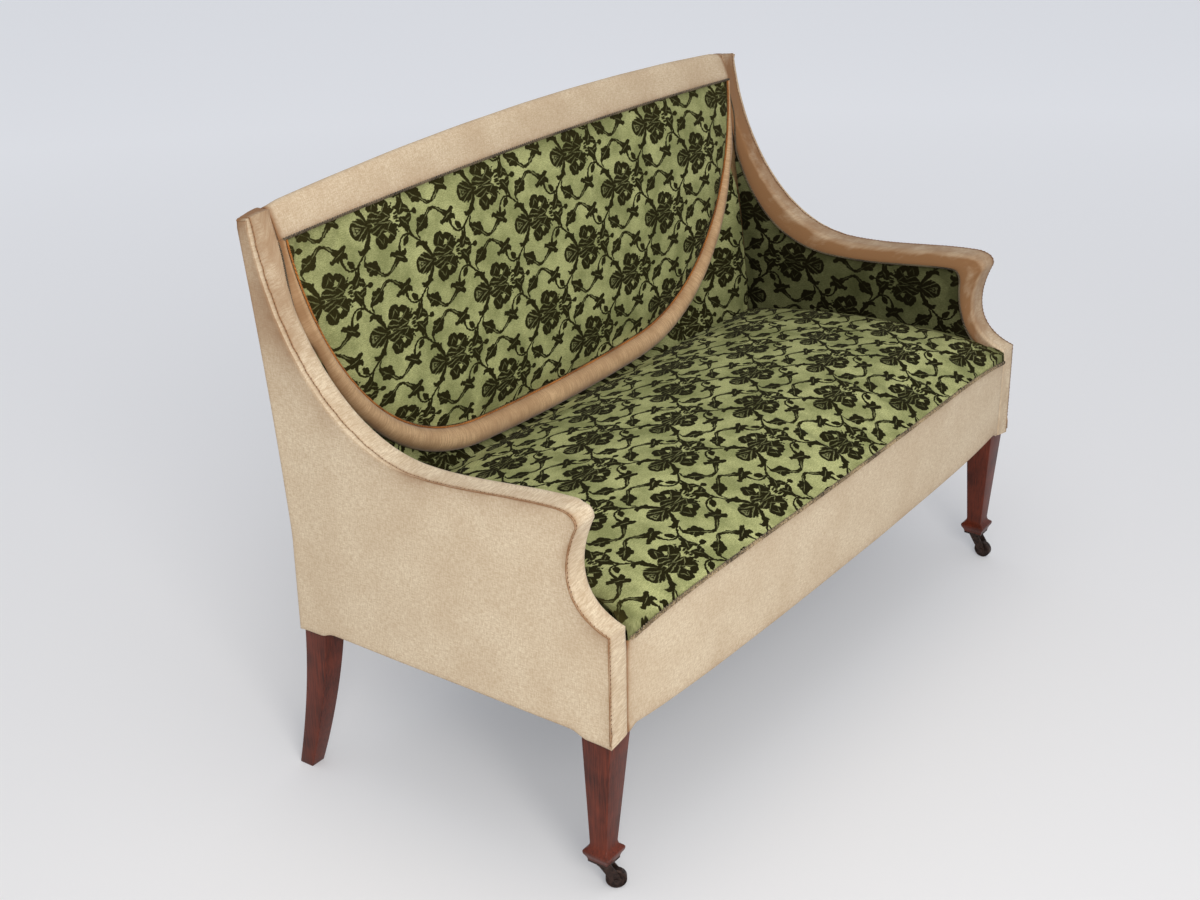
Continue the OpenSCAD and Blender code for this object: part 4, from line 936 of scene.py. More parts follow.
def hair_stuffing(name):
    """Curled horsehair: a springy brown-black tangle."""
    mat, tree, shader = new_finish(name, srgb("#4A3828"), Roughness=0.8)
    co = node(tree, "ShaderNodeTexCoord").outputs["Object"]
    curls = node(tree, "ShaderNodeTexVoronoi", {"Vector": co, "Scale": per_mm(7)},
                 feature="DISTANCE_TO_EDGE")
    colour = node(tree, "ShaderNodeMix",
                  {0: curls.outputs[0], 6: rgba(srgb("#1E1610")), 7: rgba(srgb("#6A523A"))},
                  data_type="RGBA").outputs[2]
    tree.links.new(colour, shader.inputs["Base Color"])
    bump = node(tree, "ShaderNodeBump", {"Height": curls.outputs[0], "Strength": 0.6, "Distance": 2 * MM})
    tree.links.new(bump.outputs[0], shader.inputs["Normal"])
    return mat


# Sizes and colours to change

def colour_property(name, code, about):
    """A colour that the user may change, with its sRGB hex default."""
    return bpy.props.FloatVectorProperty(name=name, description=about, subtype="COLOR", size=3, min=0,
                                         max=1, default=srgb(code))


class SofaLooks(bpy.types.PropertyGroup):
    ground: colour_property("Velvet ground", "#C6C88E", "Uncut ground of the green velvet")
    ground_shade: colour_property("Velvet ground, shaded", "#646A3E", "The same ground between its loops")
    cut: colour_property("Cut roses", "#1E1B0A", "Cut pile of the roses and leaves")
    cut_light: colour_property("Cut roses, lit", "#3C391C", "The same pile where it leans to the light")
    beige: colour_property("Beige velvet", "#E4D5BB", "Outer covers and bands")
    beige_shade: colour_property("Beige velvet, brushed", "#BBA284", "The same nap brushed the other way")
    # This brown also paints shade: on the uprights' tops, the bands' inner lips and the roll's outer side
    soil_and_shade: colour_property("Seam soiling", "#8C6747", "Brown that handling leaves along seams")
    tan: colour_property("Tan velvet", "#DEBC94", "Roll round the back")
    tan_shade: colour_property("Tan velvet, brushed", "#AC8A66", "The same nap brushed the other way")
    orange: colour_property("Orange cord", "#C07A34", "Cord round the back panel")
    gimp: colour_property("Brown gimp", "#AE9876", "Gimps along the seat, panel and arms")
    mahogany: colour_property("Mahogany, lit", "#6E2F1D", "Stained and waxed legs")
    mahogany_dark: colour_property("Mahogany, dark grain", "#32130B", "Dark grain of the legs")
    iron: colour_property("Caster iron", "#3E2C25", "Old bronzed iron")


class SofaSizes(bpy.types.PropertyGroup):
    stitch: bpy.props.FloatProperty(name="Stitch spacing", description="Distance between the hand stitches",
                                    default=0.0072, min=0.003, max=0.02, unit="LENGTH")
    gimp_lay: bpy.props.FloatProperty(name="Gimp lay", description="Length of one turn of the twisted gimp",
                                      default=0.011, min=0.004, max=0.03, unit="LENGTH")
    cord_lay: bpy.props.FloatProperty(name="Cord lay", description="Length of one turn of the orange cord",
                                      default=0.007, min=0.003, max=0.02, unit="LENGTH")
    crown: bpy.props.FloatProperty(name="Rise of the stuffing",
                                   description="How far the stuffed forms may swell", default=0.005,
                                   min=0.0, max=0.01, unit="LENGTH")
    edge_radius: bpy.props.FloatProperty(name="Leg edges", description="Rounding of the edges of the legs",
                                         default=0.0012, min=0.0, max=0.004, unit="LENGTH")


def beige(looks):
    """The beige velvet, made once."""
    name = "Mohair velvet, beige"
    known = bpy.data.materials.get(name)
    return known or plain_velvet(name, tuple(looks.beige), tuple(looks.beige_shade), tuple(looks.soil_and_shade))


# Pieces

class SOFA_OT_side_covers(bpy.types.Operator):
    """Beige outer covers of the two sides"""
    bl_idname = "sofa.side_covers"
    bl_label = "Side covers"

    def execute(self, context):
        at = np.array(index_list())
        top = np.array([outline_at(i) for i in at])
        top[0] = (BACK_TOP[0] - 0.6, BACK_TOP[1] + 0.6)
        sweep = int(sum(at <= SWEEP_END))
        back_z = np.linspace(920.5, HEM_Z, sweep)
        back = np.stack([back_y_at(back_z), back_z], axis=1)
        y = np.linspace(BACK_Y, -FRONT_Y, len(at) - sweep + 1)[1:]
        bottom = np.vstack([back, np.stack([y, np.full(len(y), HEM_Z)], axis=1)])
        corner = np.minimum(bottom[:, 0] + FRONT_Y, BACK_Y - bottom[:, 0])
        hem = 2.2 - 8.2 * (1 - smooth((corner - 44) / 27)) - 1.8 * near(corner, 12)
        hem += 0.5 * waves(np.stack([bottom[:, 0]] + [bottom[:, 0] * 0] * 2, 1), 120, 7)
        bottom[:, 1] += np.where(bottom[:, 1] < HEM_Z + 3, hem, 0)
        long = np.linalg.norm(bottom - top, axis=1)
        seam = np.array([seam_in(i) for i in at])
        out = np.array([inward_at(i) for i in at])
        bend = np.minimum(0.9 * seam, 5 + 3 * (1 - smooth(at / 2)))  # radius of the fold over the edge

        def dip(q):
            return bend - np.sqrt(np.maximum(bend ** 2 - np.maximum(bend - q, 0) ** 2, 0))

        rows, worn = [], []
        seam_line = mix(1.2, 2.2, smooth((at - 10) / 4))
        # Over the edge to the seam: shares of the way, and how far the cover is tucked in there
        for share, tuck in ((1, 0.9), (0.86, 0.15), (0.6, 0), (0.36, 0), (0.16, 0)):
            p = top + out * (dip(seam * share) + tuck)[:, None]
            x = HALF_W - seam * share
            rows.append(np.array([drawn_top(i, *q) for i, q in zip(at, np.column_stack([x, p]))]))
            to_seam = seam * (1 - share)
            # The first term paints the upright's top face darker, as shade; the second browns the upright
            # higher up
            cap = 0.8 * (1 - smooth(at / 1.1)) + 0.22 * smooth((p[:, 1] - SOILED_Z) / SOILED)
            worn.append(near(to_seam, seam_line) + 0.18 * near(to_seam, 12) + cap)
        # Down the side: rows close together at both edges, and closer still where the side is low
        close_rows = (1.7, 2.8, 4.5, 7, 14)
        squeeze = np.minimum(1, long / 40)
        for k in range(25):
            if k < 5:
                d = close_rows[k] * squeeze
            elif k > 19:
                d = long - (close_rows[24 - k] - close_rows[0]) * squeeze
            else:
                d = mix(close_rows[4] * squeeze, long - (close_rows[4] - close_rows[0]) * squeeze,
                        (k - 4) / 16)
            p = top + (bottom - top) * (d / long)[:, None]
            to_edge = np.minimum(d - close_rows[0], long - d)
            x = HALF_W - 1.5 * (1 - np.minimum(1, (long - d) / 4)) ** 2
            full = np.stack([np.full(len(p), 0.0), p[:, 0], p[:, 1]], axis=1)
            x = x - 0.45 * np.minimum(1, to_edge / 40) * (1 + waves(full, 170, 3))
            # Small puckers where the seam is drawn tight
            x = x - dip(d) - 0.35 * near(d, 9) * (1 + np.sin(lengths(top) / 4.4 + 2 * waves(full, 60, 4)))
            rows.append(np.stack([x, p[:, 0], p[:, 1]], axis=1))
            close = near(d + seam - 1.6, 2.6) * (1 - 0.4 * smooth((at - NOSE_END + 1) / 3))
            patchy = near(d, 26) * (0.6 + 0.5 * waves(full, 90, 6))
            upright = smooth((p[:, 1] - SOILED_Z) / SOILED)
            worn.append(0.9 * close + 0.56 * patchy + 0.35 * near(long - d, 5) + 0.56 * upright)
        rows, worn = np.array(rows), np.array(worn)
        cloth = rows[..., 1:3]
        for side, turned in (("right", False), ("left", True)):
            r, w, c = (mirrored(rows), worn[:, ::-1], cloth[:, ::-1]) if turned else (rows, worn, cloth)
            obj = cloth_grid(f"side_cover_{side}", r, w, c)
            give_thickness(obj, 2.6)
            finish_piece(obj, beige(context.scene.sofa_looks), [f"outer_side_cover_{side}"])
        return {"FINISHED"}


class SOFA_OT_arm_bands(bpy.types.Operator):
    """Beige bands over the arms and down the front corners"""
    bl_idname = "sofa.arm_bands"
    bl_label = "Arm bands"

    def execute(self, context):
        at = index_list()
        rows, worn = [], []
        previous = None
        along = 0.0
        for i in at:
            o, e, d = outline_at(i), edge_at(i), inward_at(i)
            full = np.linalg.norm(e - o)
            share = lip_share(i)
            x_in = mix(BAND_X, LIP_X, share)
            start = HALF_W - 0.1 - seam_in(i)
            # Across the band, from the seam to the inner edge: x, and how far in from the outline
            shape = [(start, 1.7), (start - 0.8, 0.4), (start - 3, -0.1),
                     (start - 8, -0.5 if full > 8 else 0),
                     (638, -0.2), (630.5, 0), (mix(627.2, x_in, 0.05), min(0.9, 0.1 * full)),
                     (mix(625, x_in, 0.3), min(3.4, 0.3 * full)), (mix(BAND_X, x_in, 0.75), 0.38 * full),
                     (x_in, 0.72 * full), (x_in, full)]
            line = spline(shape, 32)
            if NOSE_START - 4 < i < KNEE_END:  # the mitre at the nose, from its tip to the inner corner
                crease = math.exp(-((i - (NOSE_START + 1.5)) / 0.3) ** 2)
                s = np.clip((start - 10 - line[:, 0]) / 26, 0, 1)
                line[:, 1] += 2.0 * crease * s
                line[:, 0] += 1.2 * crease * np.clip((line[:, 1] - 5) / 12, 0, 1)
            p = np.stack([line[:, 0], o[0] + d[0] * line[:, 1], o[1] + d[1] * line[:, 1]], axis=1)
            if i < 6:
                p = np.array([drawn_top(i, *q) for q in p])
                p[:, 0] -= 6 * flare(i) * np.clip((640 - p[:, 0]) / 14, 0, 1)
            rows.append(p[::-1])
            if i > KNEE_END + 1:  # the hem falls towards the corner
                rows[-1][:,
                         2] -= 8 * (i - KNEE_END - 1) ** 6 * (rows[-1][:, 0] - BAND_X) / (HALF_W - BAND_X)
            if previous is not None:
                along += np.linalg.norm(o - previous)
            previous = o
            s = lengths(line)
            pull = 0.35 * near(s, 6) * (1 + math.sin(along / 3.9 + 2 * math.sin(along / 31)))
            rows[-1][:, 1:] += d[None] * pull[::-1][:, None]
            brown = near(s,
                         mix(1.3, 2.3, smooth((i - 10) / 4))) * (1 - 0.4 * smooth((i - NOSE_END + 1) / 3))
            # Darker towards the inner edge, as soiling and painted shade, and browner up the upright
            brown += 0.14 * near(s, 10) + 0.3 * near(s[-1] - s,
                                                     12) + 0.46 * smooth((o[1] - SOILED_Z) / SOILED)
            # The inner lip, a face turned from the light, is made browner: soiling and painted shade
            brown += 0.34 * smooth((line[:, 1] - 2) / 8) * (full > 8)
            # The top face of the upright is painted darker, as shade
            brown += 0.85 * (1 - smooth(i / 1.1))
            worn.append(brown[::-1])
        rows, worn = np.array(rows).transpose(1, 0, 2), np.array(worn).T
        looks = context.scene.sofa_looks
        # Drawn tight, the cloth shows its weave, and its colour is made 7 % paler than the beige: painted
        # light on the bands
        drawn = plain_velvet("Mohair velvet, beige, drawn tight over the arm",
                             tuple(min(1, 1.07 * v) for v in looks.beige), tuple(looks.beige_shade),
                             tuple(looks.soil_and_shade), streaks=(17.0, 2.8), swell=40.0, contrast=0.5, rib=-0.7)
        # The right arm is browner, apart from its top
        more = (0.62 * (1 - smooth((np.array(at) - KNEE_END
                                    + 3) / 3)) - 0.95 * (1 - smooth(np.array(at) / 2.2)))[None]
        for side, turned in (("right", False), ("left", True)):
            r, w = (mirrored(rows), worn[:, ::-1]) if turned else (rows,
                                                                   np.maximum(worn + more, 0.1 * worn))
            obj = cloth_grid(f"arm_band_cover_{side}", r, w)
            give_thickness(obj, 3)
            finish_piece(obj, drawn, [f"arm_band_{side}"], angle=60)
        return {"FINISHED"}


class SOFA_OT_front_border(bpy.types.Operator):
    """Beige border along the front of the seat"""
    bl_idname = "sofa.front_border"
    bl_label = "Front border"

    def execute(self, context):
        even = np.linspace(-1, 1, 141)
        x = BORDER_X * (0.35 * np.sin(even * math.pi / 2) + 0.65 * even)  # columns closer at the ends
        to_end = BORDER_X - np.abs(x)
        y, low, high = front_arc(x), front_bottom(x), front_top(x) - 3.6
        low = low + 1.5 + 0.6 * waves(np.stack([x, x * 0, x * 0], 1), 190, 5)
        low = low - 11 * (1 - smooth(to_end / 24)) - 1.5 * near(to_end, 60)
        # The turned-in hem and upper edge: how far back, and how far up
        lift = [(2.8, 0.7), (1.2, 0), (0.3, 1.3), (0, 4), (0, 9)]
        fold = [(0, -9), (0.1, -4), (0.7, -1.4), (1.8, 0)]
        end = 1.6 * (1 - np.minimum(1, to_end / 4)) ** 2
        rows, worn = [], []
        for dy, dz in lift:
            rows.append(np.stack([x, y + dy + end, low + dz], 1))
            worn.append(0.35 * near(dz + 0 * x, 10))
        for k in range(1, 14):
            z = mix(low + 9, high - 9, k / 14)
            p = np.stack([x, y + end, z], 1)
            p[:, 1] += 0.5 * (1 + waves(p, 150, 8))
            rows.append(p)
            worn.append(0.35 * near(z - low, 10) + 0.4 * near(high - z, 7))
        for dy, dz in fold:
            rows.append(np.stack([x, y + dy + end, high + dz], 1))
            worn.append(0.4 * near(-dz + 0 * x, 7))
        rows = np.array(rows)
        worn = np.array(worn) + np.where(x > 0, 0.4, 1) * (0.75 * near(to_end, 3) + 0.3 * near(to_end, 16))
        obj = cloth_grid("front_border_cover", rows, worn, rows[..., [0, 2]])
        give_thickness(obj, 3)
        finish_piece(obj, beige(context.scene.sofa_looks), ["front_border"])
        return {"FINISHED"}


class SOFA_OT_top_border(bpy.types.Operator):
    """Beige border over the top rail"""
    bl_idname = "sofa.top_border"
    bl_label = "Top border"

    def execute(self, context):
        columns, worn = [], []
        for x in np.linspace(-PILLOW_X, PILLOW_X, 121):
            z0 = panel_top(x * PANEL_HALF / BAND_X) + 2
            z1, y0, y1 = top_z(x) - top_fall(x), panel_y(z0) + 0.15, BACK_TOP[0] + 0.5
            h = z1 - z0
            line = spline([(y0, z0), (mix(y0, y1, 0.24), z0 + 0.55 * h), (mix(y0, y1, 0.42), z0 + 0.86 * h),
                           (mix(y0, y1, 0.6), z1), (mix(y0, y1, 0.8), z1 - 1), (y1, z1 - 7)], 20)
            end = 0.6 * (1 - min(1, (PILLOW_X - abs(x)) / 5)) ** 2
            to_end = UPRIGHT_X - abs(x)
            columns.append(np.stack([np.full(21, x), line[:, 0] + 0.8 * end, line[:, 1] - 0.6 * end], 1))
            s = lengths(line)
            worn.append(0.35 * near(s, 6) + 0.6 * near(to_end, 2) + 0.15 * near(to_end, 20)
                        + 0.35 * near(s[-1] - s, 8) + 0.16)
        rows = np.array(columns).transpose(1, 0, 2)
        rows[..., 2] -= 0.25 * (1 + waves(rows, 120, 11))
        obj = cloth_grid("top_border_cover", rows, np.array(worn).T)
        give_thickness(obj, 2.5)
        finish_piece(obj, beige(context.scene.sofa_looks), ["top_border"])
        return {"FINISHED"}


class SOFA_OT_outer_back(bpy.types.Operator):
    """Beige cover over the outside of the back"""
    bl_idname = "sofa.outer_back"
    bl_label = "Outer back cover"

    def execute(self, context):
        x = np.linspace(OUTER_BACK_X, -OUTER_BACK_X, 97)
        high = np.where(np.abs(x) > UPRIGHT_X - 2, BACK_TOP[1] + 9 * (HALF_W - np.abs(x)) / POST_W - 1.6,
                        top_z(x) - 8 - top_fall(x))
        steps = np.concatenate([[0, 0.003, 0.008], np.linspace(0.02, 0.98, 34), [0.992, 0.997, 1]])
        rows, worn = [], []
        for s in steps:
            z = mix(HEM_Z + 1, high, s)
            edge = np.minimum(np.minimum(z - HEM_Z - 1, high - z), OUTER_BACK_X - np.abs(x))
            y = back_y_at(z) - 1.4 * (1 - np.minimum(1, edge / 5)) ** 2
            p = np.stack([x, y, z], 1)
            p[:, 1] -= 0.7 * np.minimum(1, edge / 60) * (1 + waves(p, 260, 21))
            rows.append(p)
            worn.append(0.45 * near(edge, 9))
        rows = np.array(rows)
        obj = cloth_grid("outer_back", rows, np.array(worn), rows[..., [0, 2]])
        give_thickness(obj, 2)
        finish_piece(obj, beige(context.scene.sofa_looks), ["outer_back_cover"])
        return {"FINISHED"}


class SOFA_OT_dust_cover(bpy.types.Operator):
    """Black cloth tacked under the seat, cut out round the legs"""
    bl_idname = "sofa.dust_cover"
    bl_label = "Dust cover"

    def execute(self, context):
        low, high = (np.array(p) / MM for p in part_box("dust_cover"))
        cut = 60  # side of the square cut out for each leg
        x = np.concatenate([[low[0]], np.linspace(low[0] + cut, high[0] - cut, 55), [high[0]]])
        y = np.concatenate([[high[1]], np.linspace(high[1] - cut, low[1] + cut, 23), [low[1]]])
        gx, gy = np.meshgrid(x, y)
        edge = np.minimum(np.minimum(gx - low[0], high[0] - gx), np.minimum(gy - low[1], high[1] - gy))
        rows = np.stack([gx, gy, np.full(gx.shape, low[2])], 2)
        rows[..., 2] -= 1.2 * np.minimum(1, edge / 120) * (1 + 0.4 * waves(rows, 200, 31))
        obj = cloth_grid("dust_cloth", rows, 0.3 * near(edge, 20), rows[..., :2])
        pick(obj)
        bpy.ops.object.mode_set(mode="EDIT")
        bpy.ops.mesh.select_all(action="DESELECT")
        bpy.ops.object.mode_set(mode="OBJECT")
        for face in obj.data.polygons:
            c = face.center / MM
            face.select = bool(max(min(c[k] - low[k], high[k] - c[k]) for k in (0, 1)) < cut)
        bpy.ops.object.mode_set(mode="EDIT")
        bpy.ops.mesh.select_mode(type="FACE")
        bpy.ops.mesh.delete(type="FACE")
        bpy.ops.object.mode_set(mode="OBJECT")
        give_thickness(obj, 0.8)
        mat = plain_cloth("Black cotton cloth, plain woven", srgb("#2A2622"), srgb("#100E0C"), 2.5)
        finish_piece(obj, mat, ["dust_cover"])
        return {"FINISHED"}


class SOFA_OT_seat(bpy.types.Operator):
    """Sprung seat in cut velvet, with its stuffing"""
    bl_idname = "sofa.seat"
    bl_label = "Seat"

    def execute(self, context):
        looks, sizes = context.scene.sofa_looks, context.scene.sofa_sizes
        m, n = 72, 150
        depth = SEAT_BACK_Y + FRONT_Y
        canvas_z = 414.9
        rows, under = [], []
        t = np.linspace(-1, 1, n + 1)
        u = np.sign(t) * (1 - (1 - np.abs(t)) ** 1.2)
        for j in range(m + 1):
            v = (j / m) ** 1.35
            w = SEAT_X + 25.2 * max((1 - v) ** 10, 1 - smooth((v - 0.02) / 0.085))
            side = 470 - (470 - 425 - 16) * (1 - v) ** 9 - 44 * v ** 3.2
            mid = 497 - 53 * (1 - v) ** 6 - 62 * v ** 3
            z = mix(side, mid, 1 - np.abs(u) ** 2.4)
            if j == 0:
                z = front_top(u * BAND_X)
            y = mix(front_arc(u * BAND_X), SEAT_BACK_Y - 0.6, v)
            p = np.stack([u * w, y, z], 1)
            edge = np.minimum(w - np.abs(p[:, 0]), min(v, 1 - v) * depth)
            p[:, 2] += np.minimum(1, edge / 70) * (-1.5 + 1.6 * waves(p, 210, 41) + 0.6 * waves(p, 70, 43))
            # Small pleats where the cover is drawn round the front corners
            across, back = 612 - np.abs(p[:, 0]), p[:, 1] + 316
            fan, angle = np.hypot(across, back), np.arctan2(back, across)
            p[:, 2] -= 1.8 * np.exp(-((fan - 34) / 22) ** 2) * (0.5 + 0.5 * np.cos(angle * 15))
            rows.append(p)
            b = p.copy()
            inside = np.clip((edge - 9) / 7, 0, 1)
            b[:, 2] = mix(p[:, 2] - 3, np.minimum(canvas_z, p[:, 2] - 3), inside)
            under.append(b)
        rows, under = np.array(rows), np.array(under)
        along = lengths(rows[:, n // 2])
        flat_y = (along - along[-1]) + rows[-1, n // 2, 1]
        cloth = np.stack([rows[..., 0], np.repeat(flat_y[:, None], n + 1, 1)], 2)
        to_arm = SEAT_X + 24 * (1 - np.linspace(0, 1, m + 1)[:, None] ** 1.35) ** 10 - np.abs(rows[..., 0])
        # Darker towards the arms: painted shade from the arms, with soiling along them
        worn = 0.4 * near(to_arm, 10) + 0.3 * near(to_arm, 50)
        obj = closed_form("seat_cushion", rows, under, worn, cloth)
        puff(obj, rows.shape[:2], sizes.crown / MM, 4, 5.0)
        # The seat's copy has its ground painted lighter, as the light on the seat, and its cut pile painted
        # darker
        mat = cut_velvet("Cut velvet, seat, painted light and shade", looks, light=1.06, shift=(130.0, 215.0), deep=0.7)
        finish_piece(obj, mat, ["seat_cover", "seat_stuffing"])
        return {"FINISHED"}


class SOFA_OT_back_panel(bpy.types.Operator):
    """D-shaped back panel in cut velvet, with its stuffing"""
    bl_idname = "sofa.back_panel"
    bl_label = "Back panel"

    def execute(self, context):
        looks, sizes = context.scene.sofa_looks, context.scene.sofa_sizes
        edge = panel_edge()[::-1]
        m = 34
        front, back = [], []
        for j in range(m + 1):
            s = 0.5 - 0.5 * math.cos(math.pi * (j / m) ** 0.97)
            z = mix(edge[:, 1], panel_top(edge[:, 0]), s)
            side = 1 - (np.abs(edge[:, 0]) / PANEL_HALF) ** 4
            y = panel_y(z) - 11 * side * (1 - abs(2 * s - 1) ** 3)
            p = np.stack([edge[:, 0], y, z], 1)
            inside = np.minimum(1, 4 * s * (1 - s)) * side
            p[:, 1] += inside * (0.8 + 0.7 * waves(p, 190, 51))
            front.append(p)
            back.append(np.stack([p[:, 0], np.maximum(strap_front(z), p[:, 1] + 5), z], 1))
        front, back = np.array(front), np.array(back)
        x, z = front[..., 0], front[..., 2]
        # Painted shade: darker towards the sides, where the arms shade the panel, and along its top under
        # the border
        worn = 0.34 * near(PANEL_HALF - np.abs(x), 70) + 0.2 * near(panel_top(x) - z, 22)
        obj = closed_form("back_panel", front, back, worn, front[..., [0, 2]])
        puff(obj, front.shape[:2], sizes.crown / MM, 4, 4.0)
        mat = cut_velvet("Cut velvet, back", looks, shift=(90.0, -777.0))
        finish_piece(obj, mat, ["back_panel_cover", "back_stuffing"])
        return {"FINISHED"}


class SOFA_OT_back_roll(bpy.types.Operator):
    """Tan velvet roll round the back panel"""
    bl_idname = "sofa.back_roll"
    bl_label = "Back roll"

    def execute(self, context):
        looks = context.scene.sofa_looks
        edge = panel_edge()
        out = panel_outward(edge)
        path = np.stack([edge[:, 0], panel_y(edge[:, 1]), edge[:, 1]], 1)
        path[[0, -1], 2] += 5.5  # up under the gimp
        fine = even_path(path, 7.0)
        at, at_fine = lengths(path), lengths(fine)
        out = np.stack([np.interp(at_fine / at_fine[-1] * at[-1], at, out[:, k]) for k in (0, 1)], 1)
        out /= np.linalg.norm(out, axis=1)[:, None]
        sides = 28
        a = -2 * math.pi * np.arange(sides) / sides
        rings, worn, cloth = [], [], []
        for p, o, s in zip(fine, out, at_fine):
            r = float(roll_radius(p[2]))
            fold = 1 + 0.010 * math.sin(s * 0.33) + 0.012 * math.sin(s * 0.071 + 1)
            c = np.array((p[0], p[2])) + o * (r + CORD_D + 0.5)
            # Near the top its outer side spreads until it meets the band and dips behind its edge
            high = smooth((p[2] - 715) / 75)
            to_band = (UPRIGHT_X - 0.5 - abs(c[0])) / max(0.5, abs(o[0]))
            wide = mix(r * (1 + 0.4 * smooth((p[2] - 560) / 120)), max(r, to_band), high)
            reach = np.cos(a) * np.where(np.cos(a) > 0, wide, r)
            crown = r * np.abs(np.sin(a)) ** 0.9 * fold * mix(1, 0.8, smooth((p[2] - 640) / 200))
            depth = np.where(np.sin(a) > 0, crown, -3 * np.abs(np.sin(a)) ** 0.4)
            depth -= 7 * high * np.clip(np.cos(a), 0, 1) ** 2
            rings.append(np.stack([c[0] + o[0] * reach, p[1] - depth, c[1] + o[1] * reach], 1))
            around = np.arange(sides) * 2 * math.pi * r / sides
            cloth.append(np.stack([around, np.full(sides, s)], 1))
            # Darker beside the cord and along the outer edge, and painted shade over the whole outer half,
            # the side turned away from the light
            worn.append(0.35 * near(r + reach, 5) + 0.3 * near(wide - reach, 5) + 0.1
                        + 0.5 * smooth(reach / r + 0.2))
        obj = tube_piece("roll_round_back", rings, np.array(cloth), np.array(worn))
        point_outwards(obj)
        mat = plain_velvet("Mohair velvet, tan", tuple(looks.tan), tuple(looks.tan_shade),
                           tuple(looks.soil_and_shade),
                           streaks=(26.0, 2.6), swell=60.0, contrast=0.6, sheen=0.2, rib=0.8)
        finish_piece(obj, mat, ["back_roll"])
        return {"FINISHED"}


class SOFA_OT_lower_back(bpy.types.Operator):
    """Green lower back, below and beside the roll"""
    bl_idname = "sofa.lower_back"
    bl_label = "Lower back"

    def execute(self, context):
        edge = panel_edge()
        out = panel_outward(edge)
        keep = slice(14, len(edge) - 14)  # it ends below the panel's top corners
        edge, out = edge[keep][::-1], out[keep][::-1]
        r = roll_radius(edge[:, 1])
        d = edge + out * (2 * r + CORD_D + 1.2)[:, None]
        inner = np.stack([d[:, 0], panel_y(edge[:, 1]) - 2, d[:, 1]], 1)
        centre_z, low_z = 760, SEAT_BACK_Z - 2  # its outer edge is the panel's, grown from this height
        grow = np.minimum(LOWER_BACK_X / np.maximum(1, np.abs(edge[:, 0])),
                          (centre_z - low_z) / (centre_z - edge[:, 1]))
        z = centre_z - (centre_z - edge[:, 1]) * grow
        outer = np.stack([edge[:, 0] * grow, corner_y(z), z], 1)
        front, back = [], []
        for s in np.linspace(1, 0, 15):
            p = mix(inner, outer, s)
            p[:, 0] = np.clip(p[:, 0], -LOWER_BACK_X, LOWER_BACK_X)
            # It is full in the middle, and its tips go in behind the roll
            p[:, 1] += 9 * smooth((p[:, 2] - 675) / 50) - 4 * math.sin(math.pi * s)
            p[:, 2] = np.minimum(p[:, 2], inner[:, 2])
            front.append(p)
            back.append(np.stack([p[:, 0], np.maximum(p[:, 1] + 5, strap_front(p[:, 2])), p[:, 2]], 1))
        front = np.array(front)
        obj = closed_form("lower_back", front, np.array(back), None, front[..., [0, 2]])
        puff(obj, front.shape[:2], 3.0, 2, 3.0)
        looks = context.scene.sofa_looks
        # The lower back's copy is painted darker, as the shade it lies in between the arms and under the
        # roll
        mat = cut_velvet("Cut velvet, lower back, in painted shade", looks, light=0.76, shift=(20.0, -700.0))
        finish_piece(obj, mat, ["lower_back_cover", "lower_back_pad"])
        return {"FINISHED"}


class SOFA_OT_inner_arms(bpy.types.Operator):
    """Padded green insides of the arms"""
    bl_idname = "sofa.inner_arms"
    bl_label = "Inner arms"

    def execute(self, context):
        at = np.linspace(INNER_FROM, INNER_TO, 111)
        low_z = SEAT_BACK_Z - 2
        first = edge_at(INNER_FROM)
        turn = 0.34  # the share of the columns that end at the lower back; the rest end at the seat
        up = np.linspace(1, 0, 29)
        columns = []
        for i in at:
            s = (i - INNER_FROM) / (INNER_TO - INNER_FROM)
            if s < turn:
                z = mix(first[1] - 12, low_z, s / turn)
                base = np.array((corner_y(z) - 1, z))
            else:
                base = np.array((mix(corner_y(low_z) - 1, -FRONT_Y + 33, (s - turn) / (1 - turn)), low_z))
            top = edge_at(i) + inward_at(i) * 0.5
            v = up ** 1.15
            p = top[None] + (base - top)[None] * v[:, None]
            columns.append(np.stack([lip_x_at(i) - 11 * (1 - (1 - v) ** 3), p[:, 0], p[:, 1]], 1))
        front = np.array(columns).transpose(1, 0, 2)
        front[..., 0] += 0.5 * (1 + waves(front, 130, 61)) * np.minimum(1,
                                                                        (LIP_X - front[..., 0]) / 8).clip(0)
        back = front.copy()
        back[..., 0] = ARM_PAD_X
        # Darker along the top edge, in the crease under the band's lip
        worn = 0.5 * near(up[:, None] * 60 + 0 * front[..., 0], 8)
        cloth = front[..., 1:]
        looks = context.scene.sofa_looks
        for side, turned in (("right", False), ("left", True)):
            f, b, w, c = front, back, worn, cloth
            if turned:
                f, b, w, c = mirrored(front), mirrored(back), worn[:, ::-1], cloth[:, ::-1]
            obj = closed_form(f"inner_arm_{side}", f, b, w, c)
            puff(obj, f.shape[:2], 3.0, 3, 3.0)
            # The arms' copy is painted down to about a quarter of the light and browned, as the shade the
            # inner arms stand in
            mat = cut_velvet("Cut velvet, arms, in painted shade", looks, light=0.23, brown=0.03, shift=(-78.0, -545.0))
            finish_piece(obj, mat, [f"inner_arm_cover_{side}"])
        return {"FINISHED"}


